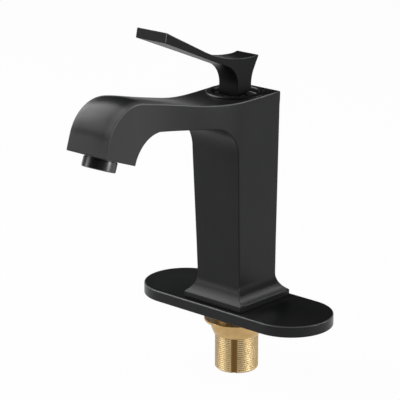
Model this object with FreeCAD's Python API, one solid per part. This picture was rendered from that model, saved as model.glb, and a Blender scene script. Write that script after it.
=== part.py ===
import FreeCAD, Part
import math
import os

# Single-handle bathroom mixer faucet on a stadium deck plate.
# Millimetres, +Z up, the spout points to -Y. The origin is on the shank axis at the deck surface.
# Points with two numbers are (y, z) in the plane of symmetry, unless a comment says otherwise.

# Longer than the faucet is in any direction, for outlines that are cut through it
FAR = 300.0

# Deck plate, the tray and gasket under it, and the seal under the foot
PLATE_LENGTH = 162.0
PLATE_WIDTH = 62.0
PLATE_HEIGHT = 8.0
PLATE_WALL = 2.0
PLATE_EDGE = 0.8
PLATE_HOLE_CLEAR = 0.6
TRAY_GAP = 0.2
TRAY_ROOF = 1.6
TRAY_RECESS_R = 16.0
TRAY_RECESS_X = 48.0
GASKET_GAP = 0.6
GASKET_THICK = 1.2
GASKET_BAND = 6.0
SEAL_OUTER_R = 24.6
SEAL_INNER_R = 22.0
SEAL_HEIGHT = 1.25
SEAL_ROOM = 0.2

# Square foot with its coved shoulder, and the tapered column
FOOT_HALF = 27.0
FOOT_RIM_TOP = 12.6
COVE_TOP = 25.0
COVE_MID_DROP = 8.6
COVE_HOLLOW = 0.9
COLUMN_HALF_LOW = 20.1
COLUMN_HALF_TOP = 23.3
COLUMN_HALF_TOP_Z = 178.0
COLUMN_FRONT_LOW = -20.3
COLUMN_BACK_LOW = 19.3
COLUMN_BACK_TOP = 19.2
BODY_TOP = 160.2
BODY_TOP_BACK = 161.1

# Spout: its upper side rises, crowns over and drops to a tilted outlet, its underside arches back
RISE_START_Y = -20.0
RISE_RADIUS = 205.0
RISE_ANGLE = 12.2
CROWN_START_Y = -113.0
CROWN_RADIUS = 29.3
FRONT_LEAN = 17.2
OUTLET_FRONT_Z = 145.0
OUTLET_BACK = (-123.0, 135.1)
HOOK_MID = (-112.3, 148.1)
HOOK_END = (-96.5, 152.6)
UNDER_END = (-43.0, 144.2)
ARCH_MID = (-30.3, 137.2)
ARCH_FOOT = (-24.0, 121.0)

# Half width of the spout seen from above, as (x, y) from the column to the tip
WAIST_PLAN = [(23.6, 6.0), (22.25, -24.0), (17.6, -55.0), (15.75, -82.0),
              (17.3, -110.0), (18.4, -130.0), (18.4, -156.0)]
WAIST_LOW = 118.0
SPOUT_LEAST_HALF = 15.0
BODY_EDGE = 1.0
FOOT_EDGE = 0.6

# Cartridge pocket, on a vertical axis a little in front of the column's centre
AXIS_Y = -3.2
POCKET_R = 17.8
POCKET_FLOOR = 118.0
NUT_BORE_R = 19.0
NUT_BORE_FLOOR = 146.0
RING_SEAT_R = 21.4
RING_SEAT_Z = 160.1

# Space for the supply hoses, their inlets, and the way of the mixed water to the outlet
CAVITY_HALF = 15.6
CAVITY_CORNER = 4.0
CAVITY_TOP = 104.0
INLET_X = 7.0
INLET_R = 3.4
INLET_THREAD_R = 4.5
INLET_THREAD_LENGTH = 12.0
INLET_SOCKET_R = 6.3
INLET_SPIGOT_R = 4.9
INLET_SPIGOT_LENGTH = 6.0
INLET_FIT = 0.05
WATERWAY_R = 4.5
WATERWAY = [(-14.0, 138.5), (-50.0, 153.2), (-127.2, 166.2)]
WATERWAY_DROP = 10.0

# Threaded shank with its keyway, and the flanged nut that clamps the faucet from below the deck
SHANK_R = 15.85
SHANK_BORE_R = 13.2
SHANK_BOTTOM = -46.0
SHANK_TOP = 24.0
SHANK_CHAMFER = 1.0
RELIEF_TOP = -19.6
RELIEF_WIDTH = 0.9
RELIEF_DEPTH = 0.4
KEYWAY_AZIMUTH = -56.0
KEYWAY_CUTTER_R = 3.6
KEYWAY_OFFSET = 17.6
KEYWAY_TOP = -12.0
NUT_TOP = -7.2
NUT_FLANGE_R = 23.7
NUT_FLANGE_THICK = 2.1
NUT_HUB_R = 18.5
NUT_HUB_BOTTOM = -15.3
NUT_BOTTOM = -19.4
NUT_FILLET = 2.6
NUT_LIP = 0.4
NUT_BORE_CLEAR = 0.35

# Ceramic-disc cartridge, from its base up to the housing's neck
BASE_R = 16.2
BASE_LIFT = 0.4
BASE_TOP = 124.0
PORT_R = 3.0
PORT_SEAL_R = 4.8
PORT_SEAL_INNER_R = 3.3
PORT_SEAL_HEIGHT = 1.85
PORT_SEAL_ROOM = 0.1
MIX_PORT_Y = -11.6
MIX_WINDOW_HALF = 3.0
MIX_WINDOW_TOP = 122.5
DISC_R = 13.4
DISC_THICK = 4.0
DISC_PORT_R = 2.8
DISC_FILM = 0.05
MOVING_DISC_R = 11.4
DISC_OFFSET = 2.0
MIX_RECESS_R = 7.0
MIX_RECESS_DEPTH = 2.2
MIX_RECESS_SHIFT = -2.4
MIX_RECESS_BACK = 1.5
CARRIER_HALF_X = 8.0
CARRIER_HALF_Y = 8.6
CARRIER_INSET = 0.4
CARRIER_TOP = 138.2
CARRIER_FLOOR = 0.5
FINGER_POCKET_R = 3.6
HOUSING_R = 17.4
HOUSING_WAIST_R = 16.4
HOUSING_WALL_R = 14.6
HOUSING_LOW = 120.0
HOUSING_WAIST_LOW = 125.0
HOUSING_WAIST_TOP = 140.0
HOUSING_STEP = 1.0
HOUSING_SHOULDER = 147.0
HOUSING_ROOF = 151.6
HOUSING_ROOF_THICK = 1.4
HOUSING_FIT = 0.05
HOUSING_WINDOW_HALF = 4.0
HOUSING_WINDOW_TOP = 127.0
NECK_R = 12.6
NECK_BORE_R = 11.0
NECK_TOP = 155.6
O_RING_Z = 143.7
O_RING_R = 0.9
O_RING_SINK = 0.55
O_GROOVE_DEPTH = 1.5
O_GROOVE_HALF = 1.1

# Swivel, stem and pivot pin inside the cartridge
SWIVEL_R = 14.2
SWIVEL_LOW = 139.0
SWIVEL_TOP = 149.8
SWIVEL_BOSS_R = 10.6
SWIVEL_BOSS_TOP = 156.0
CHEEK_LOW = 133.2
CHEEK_INNER_X = 8.4
PIVOT_Z = 146.0
PIN_R = 1.6
PIN_HALF = 13.0
PIN_CLEAR = 0.1
STEM_HALF = 4.0
STEM_TOP = 178.0
STEM_CHAMFER = 0.8
FINGER_Z = 136.2
FINGER_R = 3.0
FINGER_NECK_R = 2.3
LIFT_MAX = 22.0
SLOT_SIDE = 0.3
SLOT_ROOM = 0.5
SLOT_WAIST = 1.6

# Retaining nut of the cartridge, with spanner slots, under the trim ring
RETAINER_FIT = 0.05
RETAINER_TOP = 156.1
RETAINER_NECK_GAP = 0.3
RETAINER_EDGE_Z = 149.2
RETAINER_SEAT = 0.65
SPANNER_HALF = 2.0
SPANNER_DEPTH = 1.9

# Trim ring
RING_R = 21.0
RING_INNER_R = 16.6
RING_TOP = 161.5
RING_FLOOR = 157.6
RING_FLOOR_THICK = 1.2
RING_HOLE_R = 10.6
RING_SKIRT_R = 18.7
RING_EDGE = 0.8

# Lever handle: a flared post whose top sweeps forward and up into the lever
POST_FRONT = -9.9
POST_BACK = 3.6
POST_BOTTOM = 162.2
FLARE_START_Z = 166.5
FLARE_MID = (4.2, 171.7)
FLARE_END = (5.7, 176.2)
HANDLE_BACK = (10.8, 186.3)
VALLEY_START = (5.0, 186.1)
LEVER_RISE_RADIUS = 113.0
LEVER_SLOPE = 25.7
TIP_TOP = (-86.9, 218.0)
TIP_BOTTOM = (-88.2, 211.8)
THROAT_RADIUS = 15.0
THROAT_Z = 169.0
THROAT_TURN = 67.3
LEVER_EDGE = 0.6

# Half width of the handle seen from above, as (x, y) from its back to the lever's tip
HANDLE_PLAN = [(10.0, 13.0), (9.2, 0.0), (9.0, -22.0), (9.7, -42.0), (11.4, -64.0), (14.0, -90.0)]
HANDLE_LEAST_HALF = 5.0

# Socket of the stem in the handle, and the set screw behind its plug
SOCKET_CLEAR = 0.06
SOCKET_END = 0.2
SCREW_Z = 174.0
SCREW_R = 2.5
SCREW_LENGTH = 2.6
SCREW_FIT = 0.03
HEX_KEY = 2.5
HEX_DEPTH = 1.6
PLUG_R = 3.0

# Aerator, on the tilted outlet
AERATOR_R = 11.7
AERATOR_OUT = 7.0
AERATOR_EDGE = 0.6
AERATOR_THREAD_R = 10.8
AERATOR_SOCKET_R = 11.0
AERATOR_SOCKET_DEPTH = 13.0
AERATOR_BORE_R = 9.2
AERATOR_LIP = 0.6
AERATOR_LIP_DEPTH = 1.2
AERATOR_INSIDE = -10.6
INSERT_FIT = 0.05
INSERT_WALL = 1.2
GRID_THICK = 2.5
GRID_CELL = 2.3
GRID_PITCH = 2.9
GRID_MARGIN = 2.4
WASHER_THICK = 2.35
WASHER_INNER_R = 7.2


def vec(x, y, z):
    return FreeCAD.Vector(x, y, z)


def cylinder(radius, low, high, x=0.0, y=0.0):
    return Part.makeCylinder(radius, high - low, vec(x, y, low))


def tube(outer, inner, low, high, x=0.0, y=0.0):
    return cylinder(outer, low, high, x, y).cut(cylinder(inner, low - 1, high + 1, x, y))


def box(low, high):
    return Part.makeBox(high[0] - low[0], high[1] - low[1], high[2] - low[2], vec(*low))


def revolve(points, y=0.0):
    """Turn a closed (radius, height) outline about a vertical axis in the plane of symmetry."""
    loop = [vec(r, y, z) for r, z in points]
    face = Part.Face(Part.makePolygon(loop + loop[:1]))
    return face.revolve(vec(0, y, 0), vec(0, 0, 1), 360)


def side_line(a, b):
    return Part.LineSegment(vec(0, *a), vec(0, *b)).toShape()


def side_arc(a, mid, b):
    return Part.Arc(vec(0, *a), vec(0, *mid), vec(0, *b)).toShape()


def turn(centre, radius, degrees):
    """Point of a circle in the (y, z) plane, the angle counted from +y towards +z."""
    a = math.radians(degrees)
    return (centre[0] + radius * math.cos(a), centre[1] + radius * math.sin(a))


def side_prism(edges, half):
    """Outline in the plane of symmetry, thickened to both sides."""
    face = Part.Face(Part.Wire(edges))
    face.translate(vec(-half, 0, 0))
    return face.extrude(vec(2 * half, 0, 0))


def plan_curve(points, side, z):
    """Smooth curve through (x, y) points at height z, on the +x or -x side."""
    curve = Part.BSplineCurve()
    curve.interpolate([vec(side * x, y, z) for x, y in points])
    return curve.toShape()


def stadium(length, width, low, high):
    radius = width / 2
    flat = length / 2 - radius
    slab = box((-flat, -radius, low), (flat, radius, high))
    for end in (-flat, flat):
        slab = slab.fuse(cylinder(radius, low, high, end))
    return slab.removeSplitter()


def plate_stadium(inset, low, high):
    """Slab with the deck plate's outline, drawn in by the inset."""
    return stadium(PLATE_LENGTH - 2 * inset, PLATE_WIDTH - 2 * inset, low, high)


def level_edges(shape, z):
    """Edges that lie wholly in the horizontal plane at height z."""
    boxes = [(edge, edge.BoundBox) for edge in shape.Edges]
    return [edge for edge, bb in boxes if abs(bb.ZMin - z) < 1e-4 and abs(bb.ZMax - z) < 1e-4]


def rounded(shape, radius, wanted):
    """Round the edges whose middle point (|x|, y, z) passes the test."""
    chosen = []
    for edge in shape.Edges:
        middle = edge.valueAt((edge.FirstParameter + edge.LastParameter) / 2)
        if wanted(abs(middle.x), middle.y, middle.z):
            chosen.append(edge)
    return shape.makeFillet(radius, chosen)


def cove_mid(neck):
    """Middle point of the hollow between the foot's rim and the column, as (outward, z)."""
    return ((FOOT_HALF + neck) / 2 - COVE_HOLLOW, COVE_TOP - COVE_MID_DROP)


# Column outline seen from the front, foot and cove included
def front_prism():
    out, height = cove_mid(COLUMN_HALF_LOW)
    edges = []
    for side in (1, -1):
        foot = vec(side * FOOT_HALF, FAR, PLATE_HEIGHT)
        rim = vec(side * FOOT_HALF, FAR, FOOT_RIM_TOP)
        neck = vec(side * COLUMN_HALF_LOW, FAR, COVE_TOP)
        top = vec(side * COLUMN_HALF_TOP, FAR, COLUMN_HALF_TOP_Z)
        edges.append(Part.LineSegment(foot, rim).toShape())
        edges.append(Part.Arc(rim, vec(side * out, FAR, height), neck).toShape())
        edges.append(Part.LineSegment(neck, top).toShape())
    for half, z in ((FOOT_HALF, PLATE_HEIGHT), (COLUMN_HALF_TOP, COLUMN_HALF_TOP_Z)):
        edges.append(Part.LineSegment(vec(-half, FAR, z), vec(half, FAR, z)).toShape())
    face = Part.Face(Part.Wire(Part.__sortEdges__(edges)))
    return face.extrude(vec(0, -2 * FAR, 0))


# Column, arch and spout outline seen from the side, and the outlet's front corner
def side_outline():
    back_neck = (COLUMN_BACK_LOW, COVE_TOP)
    front_neck = (COLUMN_FRONT_LOW, COVE_TOP)
    back_out, cove_z = cove_mid(COLUMN_BACK_LOW)
    front_out, cove_z = cove_mid(-COLUMN_FRONT_LOW)
    top_back = (COLUMN_BACK_TOP, BODY_TOP_BACK)
    rise_start = (RISE_START_Y, BODY_TOP)
    rise_centre = (RISE_START_Y, BODY_TOP + RISE_RADIUS)
    rise_mid = turn(rise_centre, RISE_RADIUS, 270 - RISE_ANGLE / 2)
    rise_end = turn(rise_centre, RISE_RADIUS, 270 - RISE_ANGLE)
    slope = math.tan(math.radians(RISE_ANGLE))
    crown_start = (CROWN_START_Y, rise_end[1] + (rise_end[0] - CROWN_START_Y) * slope)
    crown_centre = turn(crown_start, CROWN_RADIUS, 270 - RISE_ANGLE)
    crown_end_angle = 180 - FRONT_LEAN
    crown_mid = turn(crown_centre, CROWN_RADIUS, (crown_end_angle + 90 - RISE_ANGLE) / 2)
    crown_end = turn(crown_centre, CROWN_RADIUS, crown_end_angle)
    drop = crown_end[1] - OUTLET_FRONT_Z
    outlet_front = (crown_end[0] - drop * math.tan(math.radians(FRONT_LEAN)), OUTLET_FRONT_Z)
    edges = [
        side_line((FOOT_HALF, PLATE_HEIGHT), (FOOT_HALF, FOOT_RIM_TOP)),
        side_arc((FOOT_HALF, FOOT_RIM_TOP), (back_out, cove_z), back_neck),
        side_line(back_neck, top_back),
        side_line(top_back, rise_start),
        side_arc(rise_start, rise_mid, rise_end),
        side_line(rise_end, crown_start),
        side_arc(crown_start, crown_mid, crown_end),
        side_line(crown_end, outlet_front),
        side_line(outlet_front, OUTLET_BACK),
        side_arc(OUTLET_BACK, HOOK_MID, HOOK_END),
        side_line(HOOK_END, UNDER_END),
        side_arc(UNDER_END, ARCH_MID, ARCH_FOOT),
        side_line(ARCH_FOOT, front_neck),
        side_arc(front_neck, (-front_out, cove_z), (-FOOT_HALF, FOOT_RIM_TOP)),
        side_line((-FOOT_HALF, FOOT_RIM_TOP), (-FOOT_HALF, PLATE_HEIGHT)),
        side_line((-FOOT_HALF, PLATE_HEIGHT), (FOOT_HALF, PLATE_HEIGHT)),
    ]
    return edges, outlet_front


# What is cut away beside the spout to leave its waist
def waist_cutters():
    (first_x, first_y), (last_x, last_y) = WAIST_PLAN[0], WAIST_PLAN[-1]
    cutters = []
    for side in (1, -1):
        outside = side * 2 * FOOT_HALF
        corners = [vec(side * last_x, last_y, WAIST_LOW), vec(outside, last_y, WAIST_LOW),
                   vec(outside, first_y, WAIST_LOW), vec(side * first_x, first_y, WAIST_LOW)]
        edges = [plan_curve(WAIST_PLAN, side, WAIST_LOW)]
        edges += [Part.LineSegment(a, b).toShape() for a, b in zip(corners, corners[1:])]
        cutters.append(Part.Face(Part.Wire(edges)).extrude(vec(0, 0, FAR)))
    return cutters


BODY_OUTLINE, OUTLET_FRONT = side_outline()
OUTLET_MID_Y = (OUTLET_FRONT[0] + OUTLET_BACK[0]) / 2
OUTLET_MID_Z = (OUTLET_FRONT[1] + OUTLET_BACK[1]) / 2
OUTLET_CENTRE = vec(0, OUTLET_MID_Y, OUTLET_MID_Z)
OUTLET_TILT = math.atan2(OUTLET_FRONT[1] - OUTLET_BACK[1], OUTLET_BACK[0] - OUTLET_FRONT[0])
OUTLET_NORMAL = vec(0, -math.sin(OUTLET_TILT), -math.cos(OUTLET_TILT))


def on_outlet(shape):
    """Place a shape built about +Z, with z = 0 at the outlet face and +z out of the spout."""
    placed = shape.copy()
    placed.rotate(vec(0, 0, 0), vec(1, 0, 0), 180 - math.degrees(OUTLET_TILT))
    placed.translate(OUTLET_CENTRE)
    return placed


def is_upper_edge(x, y, z):
    """True for the spout's upper and front edges and the body's top edge at the back."""
    if z > BODY_TOP - 0.1:
        return x > SPOUT_LEAST_HALF or y > COLUMN_BACK_TOP - 0.1
    return x > SPOUT_LEAST_HALF and y < CROWN_START_Y - CROWN_RADIUS


def is_foot_edge(x, y, z):
    """True for the foot's four upright corners and the upper edge of its rim."""
    return PLATE_HEIGHT < z < FOOT_RIM_TOP + 0.1


def is_column_front_edge(x, y, z):
    """True for the column's two upright front edges, between the cove and the arch."""
    return x > COLUMN_HALF_LOW - 1 and y < COLUMN_FRONT_LOW + 1 and COVE_TOP < z < ARCH_FOOT[1] + 4


def is_outlet_edge(x, y, z):
    """True for the rim of the spout's outlet."""
    along = (vec(0, y, z) - OUTLET_CENTRE).dot(OUTLET_NORMAL)
    return abs(along) < 0.05 and y < OUTLET_BACK[0] + 0.1


def inlet_places():
    """Centres of the hot and cold ports, the same in the body and the cartridge."""
    return [(-INLET_X, 0.0), (INLET_X, 0.0)]


def faucet_body():
    body = side_prism(BODY_OUTLINE, FAR).common(front_prism())
    for cutter in waist_cutters():
        body = body.cut(cutter)
    body = rounded(body, BODY_EDGE, is_upper_edge)
    body = rounded(body, FOOT_EDGE, is_foot_edge)
    body = rounded(body, BODY_EDGE, is_column_front_edge)
    body = rounded(body, FOOT_EDGE, is_outlet_edge)
    # Seat of the trim ring, thread of the retaining nut and pocket of the cartridge
    body = body.cut(cylinder(RING_SEAT_R, RING_SEAT_Z, FAR, 0, AXIS_Y))
    body = body.cut(cylinder(NUT_BORE_R, NUT_BORE_FLOOR, RING_SEAT_Z + 1, 0, AXIS_Y))
    body = body.cut(cylinder(POCKET_R, POCKET_FLOOR, NUT_BORE_FLOOR + 1, 0, AXIS_Y))
    # Threaded bore for the shank, and the hose space above it
    body = body.cut(cylinder(SHANK_R, PLATE_HEIGHT - 1, SHANK_TOP))
    space = box((-CAVITY_HALF, -CAVITY_HALF, SHANK_TOP), (CAVITY_HALF, CAVITY_HALF, CAVITY_TOP))
    uprights = [edge for edge in space.Edges if edge.BoundBox.ZLength > CAVITY_CORNER]
    body = body.cut(space.makeFillet(CAVITY_CORNER, uprights).removeSplitter())
    # Seats of the hot and cold inlets, and their ways up to the cartridge
    for x, y in inlet_places():
        spigot_top = CAVITY_TOP + INLET_SPIGOT_LENGTH + INLET_FIT
        body = body.cut(cylinder(INLET_SPIGOT_R + INLET_FIT, CAVITY_TOP - 1, spigot_top, x, y))
        body = body.cut(cylinder(INLET_R, CAVITY_TOP, POCKET_FLOOR + 1, x, y))
    # Mixed water leaves the pocket through the spout's core
    bends = [vec(0, *bend) for bend in WATERWAY]
    bends.append(OUTLET_CENTRE - OUTLET_NORMAL * WATERWAY_DROP)
    for a, b in zip(bends, bends[1:]):
        body = body.cut(Part.makeCylinder(WATERWAY_R, (b - a).Length, a, b - a))
    for knee in bends[1:3]:
        body = body.cut(Part.makeSphere(WATERWAY_R, knee))
    body = body.cut(on_outlet(cylinder(AERATOR_SOCKET_R, -AERATOR_SOCKET_DEPTH, AERATOR_OUT)))
    # Groove of the seal under the foot
    groove = tube(SEAL_OUTER_R + SEAL_ROOM, SEAL_INNER_R - SEAL_ROOM,
                  PLATE_HEIGHT - 1, PLATE_HEIGHT + SEAL_HEIGHT + HOUSING_FIT)
    return body.cut(groove)


def inlet_socket(x, y):
    """Brass socket for a supply hose, its spigot pressed up into the body."""
    low = CAVITY_TOP - INLET_THREAD_LENGTH
    socket = cylinder(INLET_SOCKET_R, low, CAVITY_TOP, x, y)
    socket = socket.fuse(cylinder(INLET_SPIGOT_R, CAVITY_TOP, CAVITY_TOP + INLET_SPIGOT_LENGTH, x, y))
    socket = socket.cut(cylinder(INLET_THREAD_R, low - 1, CAVITY_TOP, x, y))
    return socket.cut(cylinder(INLET_R, low, POCKET_FLOOR, x, y))


def hot_inlet_socket():
    return inlet_socket(*inlet_places()[0])


def cold_inlet_socket():
    return inlet_socket(*inlet_places()[1])


def deck_plate():
    plate = plate_stadium(0, 0, PLATE_HEIGHT)
    plate = plate.makeFillet(PLATE_EDGE, level_edges(plate, PLATE_HEIGHT))
    plate = plate.cut(plate_stadium(PLATE_WALL, -1, PLATE_HEIGHT - PLATE_WALL))
    return plate.cut(cylinder(SHANK_R + PLATE_HOLE_CLEAR, -1, PLATE_HEIGHT + 1))


def under_plate():
    roof = PLATE_HEIGHT - PLATE_WALL
    tray = plate_stadium(PLATE_WALL + TRAY_GAP, GASKET_THICK, roof)
    tray = tray.cut(cylinder(SHANK_R + PLATE_HOLE_CLEAR, 0, PLATE_HEIGHT))
    # Recesses either side of the centre, open to the deck
    for x in (-TRAY_RECESS_X, TRAY_RECESS_X):
        tray = tray.cut(cylinder(TRAY_RECESS_R, 0, roof - TRAY_ROOF, x))
    return tray


def deck_gasket():
    inset = PLATE_WALL + GASKET_GAP
    return plate_stadium(inset, 0, GASKET_THICK).cut(plate_stadium(inset + GASKET_BAND, -1, GASKET_THICK + 1))


def base_seal():
    return tube(SEAL_OUTER_R, SEAL_INNER_R, PLATE_HEIGHT, PLATE_HEIGHT + SEAL_HEIGHT)


def mounting_shank():
    outline = [(SHANK_BORE_R, SHANK_BOTTOM), (SHANK_R - SHANK_CHAMFER, SHANK_BOTTOM),
               (SHANK_R, SHANK_BOTTOM + SHANK_CHAMFER), (SHANK_R, SHANK_TOP), (SHANK_BORE_R, SHANK_TOP)]
    shank = revolve(outline)
    # Relief groove of the thread just below the nut
    shank = shank.cut(tube(SHANK_R + 1, SHANK_R - RELIEF_DEPTH, RELIEF_TOP - RELIEF_WIDTH, RELIEF_TOP))
    a = math.radians(KEYWAY_AZIMUTH)
    x = KEYWAY_OFFSET * math.cos(a)
    y = KEYWAY_OFFSET * math.sin(a)
    return shank.cut(cylinder(KEYWAY_CUTTER_R, SHANK_BOTTOM - 1, KEYWAY_TOP, x, y))


def mounting_nut():
    bore = SHANK_R + NUT_BORE_CLEAR
    flange_low = NUT_TOP - NUT_FLANGE_THICK
    hollow = (NUT_HUB_R + NUT_FILLET, flange_low - NUT_FILLET)
    return revolve([
        (bore, NUT_TOP),
        (NUT_FLANGE_R, NUT_TOP),
        (NUT_FLANGE_R, flange_low),
        turn(hollow, NUT_FILLET, 90),
        turn(hollow, NUT_FILLET, 120),
        turn(hollow, NUT_FILLET, 150),
        turn(hollow, NUT_FILLET, 180),
        (NUT_HUB_R, NUT_HUB_BOTTOM),
        (bore + NUT_LIP, NUT_BOTTOM),
        (bore, NUT_BOTTOM),
    ])


def cartridge_base():
    base = cylinder(BASE_R, POCKET_FLOOR + BASE_LIFT, BASE_TOP, 0, AXIS_Y)
    pocket_top = POCKET_FLOOR + PORT_SEAL_HEIGHT + HOUSING_FIT
    for x, y in inlet_places():
        base = base.cut(cylinder(PORT_R, POCKET_FLOOR, BASE_TOP + 1, x, y))
        base = base.cut(cylinder(PORT_SEAL_R + PORT_SEAL_ROOM, POCKET_FLOOR, pocket_top, x, y))
    # The mixed water comes down the third port and leaves by a window in the base's side
    base = base.cut(cylinder(PORT_R, pocket_top, BASE_TOP + 1, 0, MIX_PORT_Y))
    window = box((-MIX_WINDOW_HALF, AXIS_Y - BASE_R - 1, pocket_top),
                 (MIX_WINDOW_HALF, MIX_PORT_Y, MIX_WINDOW_TOP))
    return base.cut(window)


def cartridge_seals():
    top = POCKET_FLOOR + PORT_SEAL_HEIGHT
    rings = [tube(PORT_SEAL_R, PORT_SEAL_INNER_R, POCKET_FLOOR, top, x, y) for x, y in inlet_places()]
    return Part.makeCompound(rings)


def fixed_disc():
    disc = cylinder(DISC_R, BASE_TOP, BASE_TOP + DISC_THICK, 0, AXIS_Y)
    for x, y in inlet_places() + [(0.0, MIX_PORT_Y)]:
        disc = disc.cut(cylinder(DISC_PORT_R, BASE_TOP - 1, BASE_TOP + DISC_THICK + 1, x, y))
    return disc


MOVING_DISC_LOW = BASE_TOP + DISC_THICK + DISC_FILM
MOVING_DISC_Y = AXIS_Y + DISC_OFFSET


def moving_disc():
    disc = cylinder(MOVING_DISC_R, MOVING_DISC_LOW, MOVING_DISC_LOW + DISC_THICK, 0, MOVING_DISC_Y)
    # Mixing recess on the sliding face, flat at the back
    top = MOVING_DISC_LOW + MIX_RECESS_DEPTH
    recess = cylinder(MIX_RECESS_R, MOVING_DISC_LOW - 1, top, 0, MOVING_DISC_Y + MIX_RECESS_SHIFT)
    front = box((-FAR, -FAR, 0), (FAR, MOVING_DISC_Y + MIX_RECESS_BACK, FAR))
    return disc.cut(recess.common(front))


def disc_carrier():
    low = MOVING_DISC_LOW + DISC_THICK
    block = box((-CARRIER_HALF_X, MOVING_DISC_Y - CARRIER_HALF_Y, low),
                (CARRIER_HALF_X, MOVING_DISC_Y + CARRIER_HALF_Y, CARRIER_TOP))
    block = block.common(cylinder(MOVING_DISC_R - CARRIER_INSET, low, CARRIER_TOP, 0, MOVING_DISC_Y))
    return block.cut(cylinder(FINGER_POCKET_R, low + CARRIER_FLOOR, CARRIER_TOP + 1, 0, AXIS_Y))


def cartridge_housing():
    inside = BASE_R + HOUSING_FIT
    ceiling = HOUSING_ROOF - HOUSING_ROOF_THICK
    shell = revolve([
        (HOUSING_WALL_R, BASE_TOP),
        (inside, BASE_TOP),
        (inside, HOUSING_LOW),
        (HOUSING_R, HOUSING_LOW),
        (HOUSING_R, HOUSING_WAIST_LOW - HOUSING_STEP),
        (HOUSING_WAIST_R, HOUSING_WAIST_LOW),
        (HOUSING_WAIST_R, HOUSING_WAIST_TOP),
        (HOUSING_R, HOUSING_WAIST_TOP + HOUSING_STEP),
        (HOUSING_R, HOUSING_SHOULDER),
        (NECK_R, HOUSING_ROOF),
        (NECK_R, NECK_TOP),
        (NECK_BORE_R, NECK_TOP),
        (NECK_BORE_R, ceiling),
        (HOUSING_WALL_R, ceiling),
    ], AXIS_Y)
    # Groove of the O-ring, and the front window into the pocket
    shell = shell.cut(tube(HOUSING_R + 1, HOUSING_R - O_GROOVE_DEPTH,
                           O_RING_Z - O_GROOVE_HALF, O_RING_Z + O_GROOVE_HALF, 0, AXIS_Y))
    window = box((-HOUSING_WINDOW_HALF, AXIS_Y - 2 * HOUSING_R, HOUSING_LOW - 1),
                 (HOUSING_WINDOW_HALF, AXIS_Y - BASE_R + 1, HOUSING_WINDOW_TOP))
    return shell.cut(window)


def housing_o_ring():
    centre = (HOUSING_R - O_RING_SINK, O_RING_Z)
    return revolve([turn(centre, O_RING_R, 60 * k) for k in range(6)], AXIS_Y)


def pin_bar(radius):
    return Part.makeCylinder(radius, 2 * PIN_HALF, vec(-PIN_HALF, AXIS_Y, PIVOT_Z), vec(1, 0, 0))


def swivel():
    body = cylinder(SWIVEL_R, SWIVEL_LOW, SWIVEL_TOP, 0, AXIS_Y)
    body = body.fuse(cylinder(SWIVEL_BOSS_R, SWIVEL_TOP, SWIVEL_BOSS_TOP, 0, AXIS_Y))
    cheeks = cylinder(SWIVEL_R, CHEEK_LOW, SWIVEL_LOW, 0, AXIS_Y)
    cheeks = cheeks.cut(box((-CHEEK_INNER_X, -FAR, 0), (CHEEK_INNER_X, FAR, SWIVEL_LOW)))
    body = body.fuse(cheeks)
    # Slot that lets the stem tilt on its pin
    reach = math.tan(math.radians(LIFT_MAX))
    room = STEM_HALF + SLOT_ROOM
    waist = STEM_HALF + SLOT_WAIST
    up = SWIVEL_BOSS_TOP + 1 - PIVOT_Z
    down = PIVOT_Z - SWIVEL_LOW + 1
    slot = [(AXIS_Y - room, PIVOT_Z + up), (AXIS_Y + room + SLOT_ROOM + up * reach, PIVOT_Z + up),
            (AXIS_Y + waist, PIVOT_Z), (AXIS_Y + room, PIVOT_Z - down),
            (AXIS_Y - room - down * reach, PIVOT_Z - down), (AXIS_Y - waist, PIVOT_Z)]
    edges = [side_line(a, b) for a, b in zip(slot, slot[1:] + slot[:1])]
    body = body.cut(side_prism(edges, STEM_HALF + SLOT_SIDE))
    return body.cut(pin_bar(PIN_R))


def pivot_pin():
    return pin_bar(PIN_R)


def stem():
    bar = box((-STEM_HALF, AXIS_Y - STEM_HALF, PIVOT_Z), (STEM_HALF, AXIS_Y + STEM_HALF, STEM_TOP))
    bar = bar.makeChamfer(STEM_CHAMFER, level_edges(bar, STEM_TOP))
    hub = Part.makeCylinder(STEM_HALF, 2 * STEM_HALF, vec(-STEM_HALF, AXIS_Y, PIVOT_Z), vec(1, 0, 0))
    finger = cylinder(FINGER_NECK_R, FINGER_Z, PIVOT_Z, 0, AXIS_Y)
    ball = Part.makeSphere(FINGER_R, vec(0, AXIS_Y, FINGER_Z))
    bar = bar.fuse(hub).fuse(finger).fuse(ball).removeSplitter()
    return bar.cut(pin_bar(PIN_R + PIN_CLEAR))


def cartridge_nut():
    outer = NUT_BORE_R - RETAINER_FIT
    inner = NECK_R + RETAINER_NECK_GAP
    nut = revolve([
        (outer, RETAINER_EDGE_Z),
        (outer, RETAINER_TOP),
        (inner, RETAINER_TOP),
        (inner, HOUSING_ROOF + RETAINER_SEAT),
        (HOUSING_R, HOUSING_SHOULDER + RETAINER_SEAT),
    ], AXIS_Y)
    # Spanner slots across the upper face
    low = RETAINER_TOP - SPANNER_DEPTH
    nut = nut.cut(box((-SPANNER_HALF, -FAR, low), (SPANNER_HALF, FAR, FAR)))
    return nut.cut(box((-FAR, AXIS_Y - SPANNER_HALF, low), (FAR, AXIS_Y + SPANNER_HALF, FAR)))


def trim_ring():
    low = RING_FLOOR - RING_FLOOR_THICK
    return revolve([
        (RING_HOLE_R, low),
        (RING_SKIRT_R, low),
        (RING_SKIRT_R, RING_SEAT_Z),
        (RING_R, RING_SEAT_Z),
        (RING_R, RING_TOP - RING_EDGE),
        (RING_R - RING_EDGE, RING_TOP),
        (RING_INNER_R + RING_EDGE, RING_TOP),
        (RING_INNER_R, RING_TOP - RING_EDGE),
        (RING_INNER_R, RING_FLOOR),
        (RING_HOLE_R, RING_FLOOR),
    ], AXIS_Y)


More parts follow.
